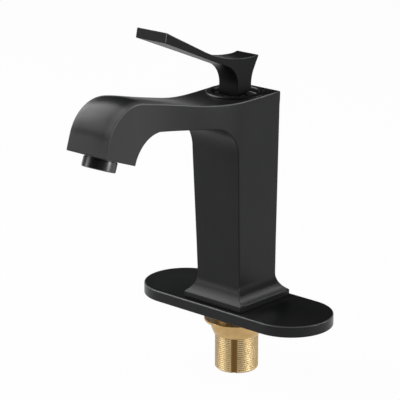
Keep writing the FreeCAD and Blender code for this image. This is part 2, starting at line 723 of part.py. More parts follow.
def is_lever_edge(x, y, z):
    """True for the handle's outer edges: those of its two sides, its tip and its back."""
    if z < POST_BOTTOM + 0.1:
        return False
    return x > HANDLE_LEAST_HALF or y < TIP_TOP[0] + 0.1 or y > HANDLE_BACK[0] - 0.1


# The handle's outer form: its side outline, narrowed to its outline from above
def handle_form():
    centre = (VALLEY_START[0], VALLEY_START[1] + LEVER_RISE_RADIUS)
    rise_mid = turn(centre, LEVER_RISE_RADIUS, 270 - LEVER_SLOPE / 2)
    rise_end = turn(centre, LEVER_RISE_RADIUS, 270 - LEVER_SLOPE)
    throat = (POST_FRONT - THROAT_RADIUS, THROAT_Z)
    throat_mid = turn(throat, THROAT_RADIUS, THROAT_TURN / 2)
    throat_end = turn(throat, THROAT_RADIUS, THROAT_TURN)
    solid = side_prism([
        side_line(HANDLE_BACK, VALLEY_START),
        side_arc(VALLEY_START, rise_mid, rise_end),
        side_line(rise_end, TIP_TOP),
        side_line(TIP_TOP, TIP_BOTTOM),
        side_line(TIP_BOTTOM, throat_end),
        side_arc(throat_end, throat_mid, (POST_FRONT, THROAT_Z)),
        side_line((POST_FRONT, THROAT_Z), (POST_FRONT, POST_BOTTOM)),
        side_line((POST_FRONT, POST_BOTTOM), (POST_BACK, POST_BOTTOM)),
        side_line((POST_BACK, POST_BOTTOM), (POST_BACK, FLARE_START_Z)),
        side_arc((POST_BACK, FLARE_START_Z), FLARE_MID, FLARE_END),
        side_line(FLARE_END, HANDLE_BACK),
    ], FAR)
    loop = [plan_curve(HANDLE_PLAN, side, 0) for side in (1, -1)]
    for x, y in (HANDLE_PLAN[0], HANDLE_PLAN[-1]):
        loop.append(Part.LineSegment(vec(-x, y, 0), vec(x, y, 0)).toShape())
    from_above = Part.Face(Part.Wire(Part.__sortEdges__(loop))).extrude(vec(0, 0, FAR))
    return rounded(solid.common(from_above), LEVER_EDGE, is_lever_edge)


def screw_bar(radius, start, end):
    """Round bar along +y at the set screw's height."""
    return Part.makeCylinder(radius, end - start, vec(0, start, SCREW_Z), vec(0, 1, 0))


STEM_BACK = AXIS_Y + STEM_HALF + SOCKET_CLEAR
PLUG_START = STEM_BACK + SCREW_LENGTH


def lever_handle():
    half = STEM_HALF + SOCKET_CLEAR
    socket = box((-half, AXIS_Y - half, POST_BOTTOM - 1), (half, AXIS_Y + half, STEM_TOP + SOCKET_END))
    handle = handle_form().cut(socket)
    handle = handle.cut(screw_bar(SCREW_R, AXIS_Y, PLUG_START))
    return handle.cut(screw_bar(PLUG_R, PLUG_START, FAR))


def set_screw():
    screw = screw_bar(SCREW_R - SCREW_FIT, STEM_BACK, PLUG_START - HOUSING_FIT)
    # Hexagon socket in the outer end
    corner_r = HEX_KEY / 2 / math.cos(math.pi / 6)
    corners = []
    for k in range(6):
        x, z = turn((0, SCREW_Z), corner_r, 60 * k)
        corners.append(vec(x, PLUG_START - HEX_DEPTH, z))
    socket = Part.Face(Part.makePolygon(corners + corners[:1])).extrude(vec(0, SCREW_LENGTH, 0))
    return screw.cut(socket)


def screw_plug():
    return screw_bar(PLUG_R - SCREW_FIT, PLUG_START, FAR).common(handle_form())


def aerator_housing():
    lip_r = AERATOR_BORE_R - AERATOR_LIP
    lip_z = AERATOR_OUT - AERATOR_LIP_DEPTH
    return on_outlet(revolve([
        (AERATOR_BORE_R, AERATOR_INSIDE),
        (AERATOR_THREAD_R, AERATOR_INSIDE),
        (AERATOR_THREAD_R, 0.0),
        (AERATOR_R, 0.0),
        (AERATOR_R, AERATOR_OUT - AERATOR_EDGE),
        (AERATOR_R - AERATOR_EDGE, AERATOR_OUT),
        (lip_r, AERATOR_OUT),
        (lip_r, lip_z),
        (AERATOR_BORE_R, lip_z),
    ]))


def aerator_insert():
    low = AERATOR_OUT - AERATOR_LIP_DEPTH
    insert = cylinder(AERATOR_BORE_R - INSERT_FIT, AERATOR_INSIDE, low)
    insert = insert.cut(cylinder(AERATOR_BORE_R - INSERT_WALL, AERATOR_INSIDE - 1, low - GRID_THICK))
    # Square grid of the flow straightener
    half = GRID_CELL / 2
    holes = []
    for i in range(-2, 3):
        for j in range(-2, 3):
            x = i * GRID_PITCH
            y = j * GRID_PITCH
            if math.hypot(x, y) < AERATOR_BORE_R - GRID_MARGIN:
                holes.append(box((x - half, y - half, low - GRID_THICK - 1), (x + half, y + half, low + 1)))
    return on_outlet(insert.cut(Part.makeCompound(holes)))


def aerator_washer():
    low = -AERATOR_SOCKET_DEPTH
    return on_outlet(tube(AERATOR_THREAD_R, WASHER_INNER_R, low, low + WASHER_THICK))


NODES = {
    "deck_plate": deck_plate,
    "under_plate": under_plate,
    "deck_gasket": deck_gasket,
    "base_seal": base_seal,
    "faucet_body": faucet_body,
    "hot_inlet_socket": hot_inlet_socket,
    "cold_inlet_socket": cold_inlet_socket,
    "mounting_shank": mounting_shank,
    "mounting_nut": mounting_nut,
    "cartridge_base": cartridge_base,
    "cartridge_seals": cartridge_seals,
    "fixed_disc": fixed_disc,
    "moving_disc": moving_disc,
    "disc_carrier": disc_carrier,
    "cartridge_housing": cartridge_housing,
    "housing_o_ring": housing_o_ring,
    "swivel": swivel,
    "pivot_pin": pivot_pin,
    "stem": stem,
    "cartridge_nut": cartridge_nut,
    "trim_ring": trim_ring,
    "lever_handle": lever_handle,
    "set_screw": set_screw,
    "screw_plug": screw_plug,
    "aerator_housing": aerator_housing,
    "aerator_insert": aerator_insert,
    "aerator_washer": aerator_washer,
}

os.makedirs("parts", exist_ok=True)
for name, make in NODES.items():
    shape = make()
    print(name, "solids", len(shape.Solids), "valid", shape.isValid(), "volume", round(shape.Volume, 1))
    shape.exportStep("parts/" + name + ".step")
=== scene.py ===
import bpy
import math
from mathutils import Matrix, Vector
from mathutils.geometry import delaunay_2d_cdt


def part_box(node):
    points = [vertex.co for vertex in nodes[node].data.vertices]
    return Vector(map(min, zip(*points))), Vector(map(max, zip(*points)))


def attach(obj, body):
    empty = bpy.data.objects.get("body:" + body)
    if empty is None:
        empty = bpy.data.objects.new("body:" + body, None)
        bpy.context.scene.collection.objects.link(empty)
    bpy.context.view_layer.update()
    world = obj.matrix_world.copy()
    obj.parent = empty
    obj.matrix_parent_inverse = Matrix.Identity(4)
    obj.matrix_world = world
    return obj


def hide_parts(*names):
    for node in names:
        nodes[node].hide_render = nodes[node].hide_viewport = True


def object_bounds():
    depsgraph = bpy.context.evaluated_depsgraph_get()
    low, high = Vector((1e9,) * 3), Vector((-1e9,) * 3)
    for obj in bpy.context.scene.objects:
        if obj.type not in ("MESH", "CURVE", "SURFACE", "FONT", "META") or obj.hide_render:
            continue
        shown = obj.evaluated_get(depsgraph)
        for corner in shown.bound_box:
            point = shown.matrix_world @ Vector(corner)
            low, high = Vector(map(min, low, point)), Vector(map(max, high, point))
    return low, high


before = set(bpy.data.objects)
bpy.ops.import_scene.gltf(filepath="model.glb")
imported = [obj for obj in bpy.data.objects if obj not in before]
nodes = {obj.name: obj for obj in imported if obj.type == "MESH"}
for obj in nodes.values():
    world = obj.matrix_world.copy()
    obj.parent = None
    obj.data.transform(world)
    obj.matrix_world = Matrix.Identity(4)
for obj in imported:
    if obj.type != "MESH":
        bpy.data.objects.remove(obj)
cad_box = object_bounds()

# Threaded shank: a hollow brass tube that hangs below the deck and screws up into the body.
# Turned from bar, with a fine thread rolled on its outside and a round keyway milled down one
# side. The supply hoses pass up through its bore.
MM = 0.001
shank_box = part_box("mounting_shank")
SHANK_LOW = shank_box[0].z / MM
SHANK_HIGH = shank_box[1].z / MM
SHANK_R = 15.85
SHANK_BORE_R = 13.2
SHANK_BORE_BEVEL = 0.6
SHANK_LEAD_IN = 1.0
SHANK_STEPS = 144
THREAD_PITCH = 1.5
THREAD_DEPTH = 0.35
THREAD_TOP = -7.0
THREAD_ROWS_PER_PITCH = 8
KEYWAY_AZIMUTH = math.radians(-56.0)
KEYWAY_CUTTER_R = 3.6
KEYWAY_OFFSET = 17.6
KEYWAY_TOP = -12.0
KEYWAY_STEPS = 20
KEYWAY_STEP = 0.012
KEYWAY_SHIFT = 0.004
# Depth below the thread's crest over which the grooves are painted dark, as painted shade.
GROOVE_SHADE_DEPTH = 2.1
GROOVE_SHADE_CLING = 3.0


def make_piece(name, points, faces):
    """Mesh object from points in millimetres, shaded smooth."""
    mesh = bpy.data.meshes.new(name)
    mesh.from_pydata([(x * MM, y * MM, z * MM) for x, y, z in points], [], faces)
    mesh.validate()
    mesh.update()
    mesh.shade_smooth()
    piece = bpy.data.objects.new(name, mesh)
    bpy.context.scene.collection.objects.link(piece)
    return piece


def loft(name, rings):
    """Closed skin through rings of equal length, the last ring joined back to the first."""
    count = len(rings[0])
    points = [point for ring in rings for point in ring]
    faces = []
    for i in range(len(rings)):
        here, there = i * count, (i + 1) % len(rings) * count
        for j in range(count):
            k = (j + 1) % count
            faces.append((here + j, here + k, there + k, there + j))
    return make_piece(name, points, faces)


def keep_edges_crisp(piece, degrees):
    """Mark edges that turn by more than the angle as sharp, and let flat faces keep their shading."""
    piece.data.set_sharp_from_angle(angle=math.radians(degrees))
    weighted = piece.modifiers.new("even_shading", "WEIGHTED_NORMAL")
    weighted.keep_sharp = True


def clamped(value):
    """The value held between 0 and 1."""
    return min(1.0, max(0.0, value))


def thread_radius(angle, z):
    """Outside of the shank: a rolled thread that runs out under the plate, and the keyway."""
    turns = z / THREAD_PITCH - angle / math.tau
    run_out = clamped((THREAD_TOP - z) / THREAD_PITCH)
    radius = SHANK_R - THREAD_DEPTH * run_out * (0.5 + 0.5 * math.cos(math.tau * turns))
    radius = min(radius, SHANK_R - SHANK_LEAD_IN + (z - SHANK_LOW))
    away = angle - KEYWAY_AZIMUTH
    across = KEYWAY_OFFSET * math.sin(away)
    if z < KEYWAY_TOP and math.cos(away) > 0 and abs(across) < KEYWAY_CUTTER_R:
        groove = KEYWAY_OFFSET * math.cos(away) - math.sqrt(KEYWAY_CUTTER_R ** 2 - across ** 2)
        radius = min(radius, groove)
    return radius


def polar_ring(angles, radii, z):
    """Points of a level ring, given by their angles and radii."""
    return [(r * math.cos(a), r * math.sin(a), z) for a, r in zip(angles, radii)]


keyway_angles = [(KEYWAY_AZIMUTH + KEYWAY_STEP * i + KEYWAY_SHIFT) % math.tau
                 for i in range(-KEYWAY_STEPS, KEYWAY_STEPS + 1)]
shank_angles = sorted([math.tau * i / SHANK_STEPS for i in range(SHANK_STEPS)] + keyway_angles)
thread_step = THREAD_PITCH / THREAD_ROWS_PER_PITCH
thread_rows = int((THREAD_TOP - SHANK_LOW) / thread_step) + 1
shank_rings = []
for row in range(thread_rows):
    level = SHANK_LOW + row * thread_step
    shank_rings.append(polar_ring(shank_angles, [thread_radius(a, level) for a in shank_angles], level))
for radius, level in ((SHANK_R, SHANK_HIGH), (SHANK_BORE_R, SHANK_HIGH),
                      (SHANK_BORE_R, SHANK_LOW + SHANK_BORE_BEVEL),
                      (SHANK_BORE_R + SHANK_BORE_BEVEL, SHANK_LOW)):
    shank_rings.append(polar_ring(shank_angles, [radius] * len(shank_angles), level))
shank = loft("brass_shank", shank_rings)
keep_edges_crisp(shank, degrees=70)


def feed(tree, socket, source):
    """Link another node's output to a socket, or set the socket to a plain value."""
    if isinstance(source, bpy.types.NodeSocket):
        tree.links.new(source, socket)
    else:
        socket.default_value = source


def add_node(tree, kind, **inputs):
    """Shader node with some of its inputs fed, by name with spaces written as underscores."""
    made = tree.nodes.new("ShaderNode" + kind)
    for key, source in inputs.items():
        feed(tree, made.inputs[key.replace("_", " ")], source)
    return made


def add_math(tree, operation, *sources, clamp=False):
    """Output of a math node."""
    made = tree.nodes.new("ShaderNodeMath")
    made.operation = operation
    made.use_clamp = clamp
    for socket, source in zip(made.inputs, sources):
        feed(tree, socket, source)
    return made.outputs["Value"]


def mix_colors(tree, share, first, second):
    """Output of a colour mix: the first colour at a share of 0, the second at 1."""
    mix = tree.nodes.new("ShaderNodeMix")
    mix.data_type = "RGBA"
    for key, source in (("Factor", share), ("A", first), ("B", second)):
        feed(tree, mix.inputs[key], source)
    return mix.outputs["Result"]


def effect_group(name, inputs):
    """Shader node group with named inputs that gives a colour, a roughness and a height."""
    group = bpy.data.node_groups.new(name, "ShaderNodeTree")
    for socket, kind, value in inputs:
        made = group.interface.new_socket(socket, in_out="INPUT", socket_type="NodeSocket" + kind)
        made.default_value = value
    for socket, kind in (("Color", "Color"), ("Roughness", "Float"), ("Height", "Float")):
        group.interface.new_socket(socket, in_out="OUTPUT", socket_type="NodeSocket" + kind)
    return group, group.nodes.new("NodeGroupInput").outputs, group.nodes.new("NodeGroupOutput").inputs


def turned_metal_group():
    """Lathe marks round the vertical axis, slow tarnish, and dark painted shade towards an inner radius."""
    group, given, result = effect_group(
        "turned_metal",
        [("Clean", "Color", (1, 1, 1, 1)), ("Tarnish", "Color", (0.5, 0.5, 0.5, 1)),
         ("Grime", "Color", (0.1, 0.1, 0.1, 1)), ("Grime Radius", "Float", 0.0),
         ("Clean Radius", "Float", 0.0001), ("Smooth", "Float", 0.2), ("Rough", "Float", 0.4)])
    place = group.nodes.new("ShaderNodeTexCoord").outputs["Object"]
    stretched = add_node(group, "Mapping", Vector=place, Scale=(30, 30, 900)).outputs["Vector"]
    marks = add_node(group, "TexNoise", Vector=stretched, Scale=1.0, Detail=3.0).outputs["Fac"]
    clouds = add_node(group, "TexNoise", Vector=place, Scale=140.0, Detail=4.0).outputs["Fac"]
    dulled = add_node(group, "MapRange", Value=clouds, From_Min=0.42, From_Max=0.72).outputs["Result"]
    metal = mix_colors(group, dulled, given["Clean"], given["Tarnish"])
    level_place = add_node(group, "Mapping", Vector=place, Scale=(1, 1, 0)).outputs["Vector"]
    outward = add_node(group, "VectorMath", Vector=level_place)
    outward.operation = "LENGTH"
    clear = add_node(group, "MapRange", Value=outward.outputs["Value"],
                     From_Min=given["Grime Radius"], From_Max=given["Clean Radius"]).outputs["Result"]
    clear = add_math(group, "POWER", clear, GROOVE_SHADE_CLING)
    sheen = add_node(group, "MapRange", Value=marks, To_Min=given["Smooth"], To_Max=given["Rough"])
    feed(group, result["Color"], mix_colors(group, clear, given["Grime"], metal))
    feed(group, result["Roughness"], sheen.outputs["Result"])
    feed(group, result["Height"], marks)
    return group


TURNED_METAL = turned_metal_group()


def finish_material(name, group, settings, bump, **shader):
    """Principled material fed by an effect group, with a small bump from the group's height."""
    material = bpy.data.materials.new(name)
    material.use_nodes = True
    tree = material.node_tree
    surface = tree.nodes["Principled BSDF"]
    effect = tree.nodes.new("ShaderNodeGroup")
    effect.node_tree = group
    for key, value in settings.items():
        effect.inputs[key].default_value = value
    strength, distance = bump
    relief = add_node(tree, "Bump", Strength=strength, Distance=distance, Height=effect.outputs["Height"])
    feed(tree, surface.inputs["Base Color"], effect.outputs["Color"])
    feed(tree, surface.inputs["Roughness"], effect.outputs["Roughness"])
    feed(tree, surface.inputs["Normal"], relief.outputs["Normal"])
    for key, value in shader.items():
        surface.inputs[key.replace("_", " ")].default_value = value
    return material


def turned_finish(name, clean, tarnish, groove_shade, roughness, bump, shade_radii=(0.0, 0.0001)):
    """Turned metal, with painted shade between two radii in metres where a piece has hollows."""
    settings = {"Clean": (*clean, 1), "Tarnish": (*tarnish, 1), "Grime": (*groove_shade, 1)}
    settings["Grime Radius"], settings["Clean Radius"] = shade_radii
    settings["Smooth"], settings["Rough"] = roughness
    return finish_material(name, TURNED_METAL, settings, bump, Metallic=1.0)


def dress(piece, material, slot, body, *replaced):
    """Give a new piece its finish, its body and the CAD nodes that it stands for."""
    piece.data.materials.append(material)
    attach(piece, body)
    if replaced:
        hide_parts(*replaced)


# The thread's grooves and the keyway are painted dark inwards from the outer radius: painted shade in the
# recesses.
thread_finish = turned_finish(
    "threaded_brass", clean=(0.80, 0.61, 0.33), tarnish=(0.73, 0.54, 0.27), groove_shade=(0.15, 0.08, 0.024),
    roughness=(0.36, 0.44), bump=(0.02, 0.00002), shade_radii=((SHANK_R - GROOVE_SHADE_DEPTH) * MM, SHANK_R * MM))
dress(shank, thread_finish, "brass", "root", "mounting_shank")

# Mounting nut: a flanged brass nut that runs on the shank's thread and clamps the deck from below.
# Its flange flares out of a plain round hub through a hollow curve, and the hub tapers to a lip.
nut_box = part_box("mounting_nut")
NUT_TOP = nut_box[1].z / MM
NUT_LOW = nut_box[0].z / MM
NUT_FLANGE_R = nut_box[1].x / MM
NUT_FLANGE = 2.1
NUT_HUB_R = 18.5
NUT_HUB_LOW = -15.3
NUT_BORE = 16.2
NUT_HOLLOW = 2.6
NUT_EDGE = 0.5
NUT_BEVEL = 0.3
NUT_EASE = 0.2
NUT_LIP = 0.5
TURN_STEPS = 96


def arc(centre, radius, start, end, steps):
    """Points of an arc in a plane, angles in degrees."""
    turned = [math.radians(start + (end - start) * i / steps) for i in range(steps + 1)]
    return [(centre[0] + radius * math.cos(a), centre[1] + radius * math.sin(a)) for a in turned]


def lathe(name, outline, axis_y=0.0):
    """Closed (radius, height) outline turned about a vertical axis in the plane of symmetry."""
    angles = [math.tau * i / TURN_STEPS for i in range(TURN_STEPS)]
    rings = [[(r * math.cos(a), axis_y + r * math.sin(a), z) for a in angles] for r, z in outline]
    return loft(name, rings)


nut_flange_low = NUT_TOP - NUT_FLANGE
nut_outline = [(NUT_BORE, NUT_TOP - NUT_BEVEL), (NUT_BORE + NUT_BEVEL, NUT_TOP)]
nut_outline += arc((NUT_FLANGE_R - NUT_EDGE, NUT_TOP - NUT_EDGE), NUT_EDGE, 90, 0, 4)
nut_outline += arc((NUT_FLANGE_R - NUT_EDGE, nut_flange_low + NUT_EDGE), NUT_EDGE, 0, -90, 4)
nut_outline += arc((NUT_HUB_R + NUT_HOLLOW, nut_flange_low - NUT_HOLLOW), NUT_HOLLOW, 90, 180, 8)
nut_outline += [(NUT_HUB_R, NUT_HUB_LOW + NUT_BEVEL), (NUT_HUB_R - NUT_EASE, NUT_HUB_LOW - NUT_EASE)]
nut_outline += [(NUT_BORE + NUT_LIP, NUT_LOW), (NUT_BORE + NUT_EASE, NUT_LOW)]
nut_outline += [(NUT_BORE, NUT_LOW + NUT_BEVEL)]
nut = lathe("flanged_nut", nut_outline)
keep_edges_crisp(nut, degrees=40)
brass_finish = turned_finish(
    "turned_brass", clean=(0.55, 0.37, 0.165), tarnish=(0.46, 0.295, 0.12), groove_shade=(0.14, 0.075, 0.022),
    roughness=(0.28, 0.40), bump=(0.05, 0.00002))
dress(nut, brass_finish, "brass", "nut", "mounting_nut")

# Deck gasket and tray: a black rubber band that seals against the deck, and the grey moulded tray
# that fills the plate from below and carries it. The plate clamps both down on the deck.


def fine_texture_group():
    """Fine moulded or sprayed texture with slow changes of tone and gloss.

    It is painted paler on upper edges, a painted highlight, by a value kept on its points, and paler on
    upright sides, a painted sheen, by another such value. A piece without these values has neither.
    """
    group, given, result = effect_group(
        "fine_texture",
        [("Tone", "Color", (0.5, 0.5, 0.5, 1)), ("Other Tone", "Color", (0.4, 0.4, 0.4, 1)),
         ("Edge Tone", "Color", (0.5, 0.5, 0.5, 1)), ("Smooth", "Float", 0.3), ("Rough", "Float", 0.5),
         ("Grain", "Float", 2400.0)])
    place = group.nodes.new("ShaderNodeTexCoord").outputs["Object"]
    grain = add_node(group, "TexNoise", Vector=place, Scale=given["Grain"], Detail=2.0).outputs["Fac"]
    clouds = add_node(group, "TexNoise", Vector=place, Scale=38.0, Detail=3.0).outputs["Fac"]
    cloudy = add_node(group, "MapRange", Value=clouds, From_Min=0.35, From_Max=0.65).outputs["Result"]
    coat = mix_colors(group, cloudy, given["Tone"], given["Other Tone"])
    normal = group.nodes.new("ShaderNodeNewGeometry").outputs["Normal"]
    facing = add_node(group, "SeparateXYZ", Vector=normal).outputs
    upward = add_node(group, "MapRange", Value=facing["Z"], From_Min=0.03, From_Max=0.18).outputs["Result"]
    sideways = add_math(group, "ABSOLUTE", facing["X"])
    painted_glint = group.nodes.new("ShaderNodeAttribute")
    painted_glint.attribute_name = "painted_glint"
    painted_sheen = group.nodes.new("ShaderNodeAttribute")
    painted_sheen.attribute_name = "painted_sheen"
    glinting = add_math(group, "MULTIPLY", painted_glint.outputs["Fac"], upward)
    paler = add_math(group, "MULTIPLY_ADD", painted_sheen.outputs["Fac"], sideways, glinting, clamp=True)
    gloss = add_node(group, "MapRange", Value=grain, To_Min=given["Smooth"], To_Max=given["Rough"])
    feed(group, result["Color"], mix_colors(group, paler, coat, given["Edge Tone"]))
    feed(group, result["Roughness"], gloss.outputs["Result"])
    feed(group, result["Height"], grain)
    return group


FINE_TEXTURE = fine_texture_group()


def textured_finish(name, tone, other_tone, roughness, grain, bump, highlight_tone=(0.5, 0.5, 0.5), **shader):
    """Finish with the fine texture: two tones, a range of roughness and the scale of its grain."""
    settings = {"Tone": (*tone, 1), "Other Tone": (*other_tone, 1), "Edge Tone": (*highlight_tone, 1)}
    settings["Smooth"], settings["Rough"] = roughness
    settings["Grain"] = grain
    return finish_material(name, FINE_TEXTURE, settings, bump, **shader)


def refinish(material, *names):
    """Give CAD nodes that stay as they are a better finish."""
    for name in names:
        nodes[name].data.materials.clear()
        nodes[name].data.materials.append(material)


rubber_finish = textured_finish(
    "matte_rubber", tone=(0.018, 0.018, 0.019), other_tone=(0.028, 0.028, 0.029),
    roughness=(0.6, 0.8), grain=1800.0, bump=(0.3, 0.00005))
refinish(rubber_finish, "deck_gasket", "base_seal", "cartridge_seals", "housing_o_ring", "aerator_washer")
grey_finish = textured_finish(
    "grey_acetal", tone=(0.38, 0.39, 0.40), other_tone=(0.44, 0.45, 0.46),
    roughness=(0.35, 0.5), grain=2200.0, bump=(0.2, 0.00003))
refinish(grey_finish, "under_plate")

# Deck plate: a long stadium cover plate, pressed from sheet and powder coated satin black.
# Its upper edge is rolled over a small radius, and the shank passes through a round hole.
plate_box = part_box("deck_plate")
PLATE_HALF = plate_box[1].x / MM
PLATE_END_R = plate_box[1].y / MM
PLATE_TOP = plate_box[1].z / MM
PLATE_EDGE = 0.9
PLATE_LOW_EDGE = 0.25
PLATE_WALL = 2.0
PLATE_HOLE_R = 16.45
PLATE_END_STEPS = 48
PLATE_SIDE_STEPS = 24
PLATE_EDGE_STEPS = 6
PLATE_TOP_SHARES = (0.03, 0.5, 1.0)
PLATE_CEILING_SHARES = (1.0, 0.5)


def stadium_ring(inset, z):
    """Points round the plate's outline, drawn in by the inset."""
    reach = PLATE_HALF - PLATE_END_R
    end_r = PLATE_END_R - inset
    ring = []
    for side, start in ((1, -90), (-1, 90)):
        round_end = arc((side * reach, 0), end_r, start, start + 180, PLATE_END_STEPS)
        ring += [(x, y, z) for x, y in round_end]
        for i in range(1, PLATE_SIDE_STEPS):
            ring.append((side * reach * (1 - 2 * i / PLATE_SIDE_STEPS), side * end_r, z))
    return ring


def ring_towards_hole(outline, share, z):
    """Ring part of the way from the plate's outline to its round hole."""
    ring = []
    for x, y in [point[:2] for point in outline]:
        far = math.hypot(x, y)
        near = far + (PLATE_HOLE_R - far) * share
        ring.append((x / far * near, y / far * near, z))
    return ring


def store_on_points(piece, name, values):
    """Keep one number for each point of a piece, which its finish reads by name."""
    piece.data.attributes.new(name, "FLOAT", "POINT").data.foreach_set("value", values)


plate_ceiling = PLATE_TOP - PLATE_WALL
plate_rim = stadium_ring(PLATE_EDGE, PLATE_TOP)
plate_inner = stadium_ring(PLATE_WALL, plate_ceiling)
plate_rings = [stadium_ring(PLATE_LOW_EDGE, 0), stadium_ring(0, PLATE_LOW_EDGE)]
for out, up in arc((0, 0), PLATE_EDGE, 0, 90, PLATE_EDGE_STEPS):
    plate_rings.append(stadium_ring(PLATE_EDGE - out, PLATE_TOP - PLATE_EDGE + up))
plate_rings += [ring_towards_hole(plate_rim, share, PLATE_TOP) for share in PLATE_TOP_SHARES]
plate_rings += [ring_towards_hole(plate_inner, share, plate_ceiling) for share in PLATE_CEILING_SHARES]
plate_rings += [plate_inner, stadium_ring(PLATE_WALL, 0)]
plate = loft("cover_plate", plate_rings)
# The plate's rolled upper edge carries a painted highlight, strongest midway round the rounding.
plate_glint = [0.0, 0.0] + [math.sin(math.pi * i / PLATE_EDGE_STEPS) for i in range(PLATE_EDGE_STEPS + 1)]
plate_glint += [0.0] * (len(plate_rings) - len(plate_glint))
store_on_points(plate, "painted_glint", [share for share in plate_glint for point in plate_rim])
keep_edges_crisp(plate, degrees=40)
plate_coat = textured_finish(
    "plate_black_coat", tone=(0.0100, 0.0104, 0.0112), other_tone=(0.0130, 0.0134, 0.0142),
    highlight_tone=(0.14, 0.14, 0.142), roughness=(0.25, 0.33), grain=2600.0, bump=(0.12, 0.00003),
    Specular_IOR_Level=0.20)
dress(plate, plate_coat, "satin_black", "root", "deck_plate")

# Body: column, foot and spout in one casting, powder coated satin black. Seen from the side it is
# one outline, a coved foot, a tapering column and a spout that rises, crowns over and drops to its
# outlet. Its two sides taper and draw in to a waist, and every edge is softened before coating.
FOOT_HALF = 27.0
FOOT_RIM_TOP = 12.6
COVE_TOP = 25.0
COVE_MID_DROP = 8.6
COVE_HOLLOW = 0.5
COVE_LEVELS_AT_RIM = (-0.6, -0.15, 0.3)
COVE_LEVEL_STEP = 0.9
COVE_LEVEL_COUNT = 13
COVE_LEVEL_PAST = 0.6
COLUMN_HALF_LOW = 20.1
COLUMN_HALF_TOP = 23.3
COLUMN_HALF_TOP_Z = 178.0
COLUMN_FRONT = -20.3
COLUMN_BACK = 19.3
TOP_BACK = (19.2, 161.1)
RISE_START = (-20.0, 160.2)
RISE_RADIUS = 205.0
RISE_ANGLE = 12.2
RISE_STEPS = 20
CROWN_START_Y = -113.0
CROWN_RADIUS = 29.3
CROWN_ARC_STEPS = 28
FRONT_LEAN = 17.2
OUTLET_FRONT_Z = 145.0
OUTLET_BACK = (-122.5, 134.9)
HOOK = ((-112.3, 148.1), (-96.5, 152.6))
ARCH = ((-43.0, 144.2), (-30.3, 137.2), (-24.0, 121.0))
WAIST_PLAN = [(6.0, 23.6), (-24.0, 22.25), (-55.0, 17.6), (-82.0, 15.75), (-110.0, 17.3), (-130.0, 18.4),
              (-156.0, 18.4)]
WAIST_BLEND = 0.5
BODY_CORNER = 0.9
BODY_SPACING = 3.0
BODY_GRID = 3.2
SPOUT_EDGE = 1.0
OUTLET_EDGE = 0.6
OUTLET_EDGE_RISE = 2.0
FOOT_EDGE = 0.5
CROWN_TILT = 11.0
CROWN_FACING = Vector((0.9, -1.2))
CROWN_FADE_Y = (-55.0, -110.0)
CROWN_FADE_Z = (140.0, 178.0)
CROWN_STEPS = 6
FOOT_GLINT = 0.25
OUTLET_GLINT = 0.5
SIDE_SHEEN = 0.20
SIDE_SHEEN_FADE_Y = (-30.0, -135.0)
EDGE_STEPS = 5
CORNER_STEPS = 4
CORNER_LEAST_TURN = math.radians(14)
CORNER_SHARE = 0.45
CORNER_ROOM = 0.7
CORNER_REACH = 3
MITRE_LIMIT = 0.5
STRAIGHT_TURN = 0.001
GRID_CLEARANCE = 0.45
RING_AXIS_Y = -3.2
RING_HOLE_R = 19.0
RING_SEAT_R = 21.4
RING_SEAT = 160.1
RING_TOOL_TOP = 170.0
AERATOR_SOCKET_R = 11.0
AERATOR_SOCKET_DEPTH = 13.0
AERATOR_TOOL_OUT = 8.0
HOSE_ROOM_HALF = 15.6
HOSE_ROOM_CORNER = 4.0
HOSE_ROOM_TOP = 104.0
POCKET_FLOOR = 118.0
INLET_X = 7.0
INLET_WAY_R = 3.4
INLET_SPIGOT_R = 4.95
INLET_SPIGOT_TOP = 110.05
CUT_LAP = 1.0
BORE_LAP = 0.01


def arc_through(a, mid, b, spacing=1.5):
    """Points from a to b on the circle through all three."""
    ax, ay = a[0] - mid[0], a[1] - mid[1]
    bx, by = b[0] - mid[0], b[1] - mid[1]
    d = 2 * (ax * by - ay * bx)
    ux = (by * (ax * ax + ay * ay) - ay * (bx * bx + by * by)) / d
    uy = (ax * (bx * bx + by * by) - bx * (ax * ax + ay * ay)) / d
    centre = (mid[0] + ux, mid[1] + uy)
    radius = math.hypot(ux, uy)
    first, middle, last = [math.atan2(p[1] - centre[1], p[0] - centre[0]) for p in (a, mid, b)]
    sweep = (last - first) % math.tau
    if (middle - first) % math.tau > sweep:
        sweep -= math.tau
    steps = max(4, int(abs(sweep) * radius / spacing))
    return arc(centre, radius, math.degrees(first), math.degrees(first + sweep), steps)


def soften(outline, radius, spacing):
    """Round the corners of a closed outline and divide its long straight runs."""
    soft = []
    for i, corner in enumerate(outline):
        here = Vector(corner)
        to_last = Vector(outline[i - 1]) - here
        to_next = Vector(outline[(i + 1) % len(outline)]) - here
        turn = math.pi - to_last.angle(to_next)
        if turn < CORNER_LEAST_TURN:
            soft.append(here)
            continue
        back = min(radius * math.tan(turn / 2), CORNER_SHARE * to_last.length, CORNER_SHARE * to_next.length)
        start = here + to_last.normalized() * back
        end = here + to_next.normalized() * back
        for step in range(CORNER_STEPS + 1):
            t = step / CORNER_STEPS
            soft.append((1 - t) ** 2 * start + 2 * t * (1 - t) * here + t * t * end)
    divided = []
    for i, here in enumerate(soft):
        after = soft[(i + 1) % len(soft)]
        runs = max(1, round((after - here).length / spacing))
        divided += [here.lerp(after, run / runs) for run in range(runs)]
    return divided


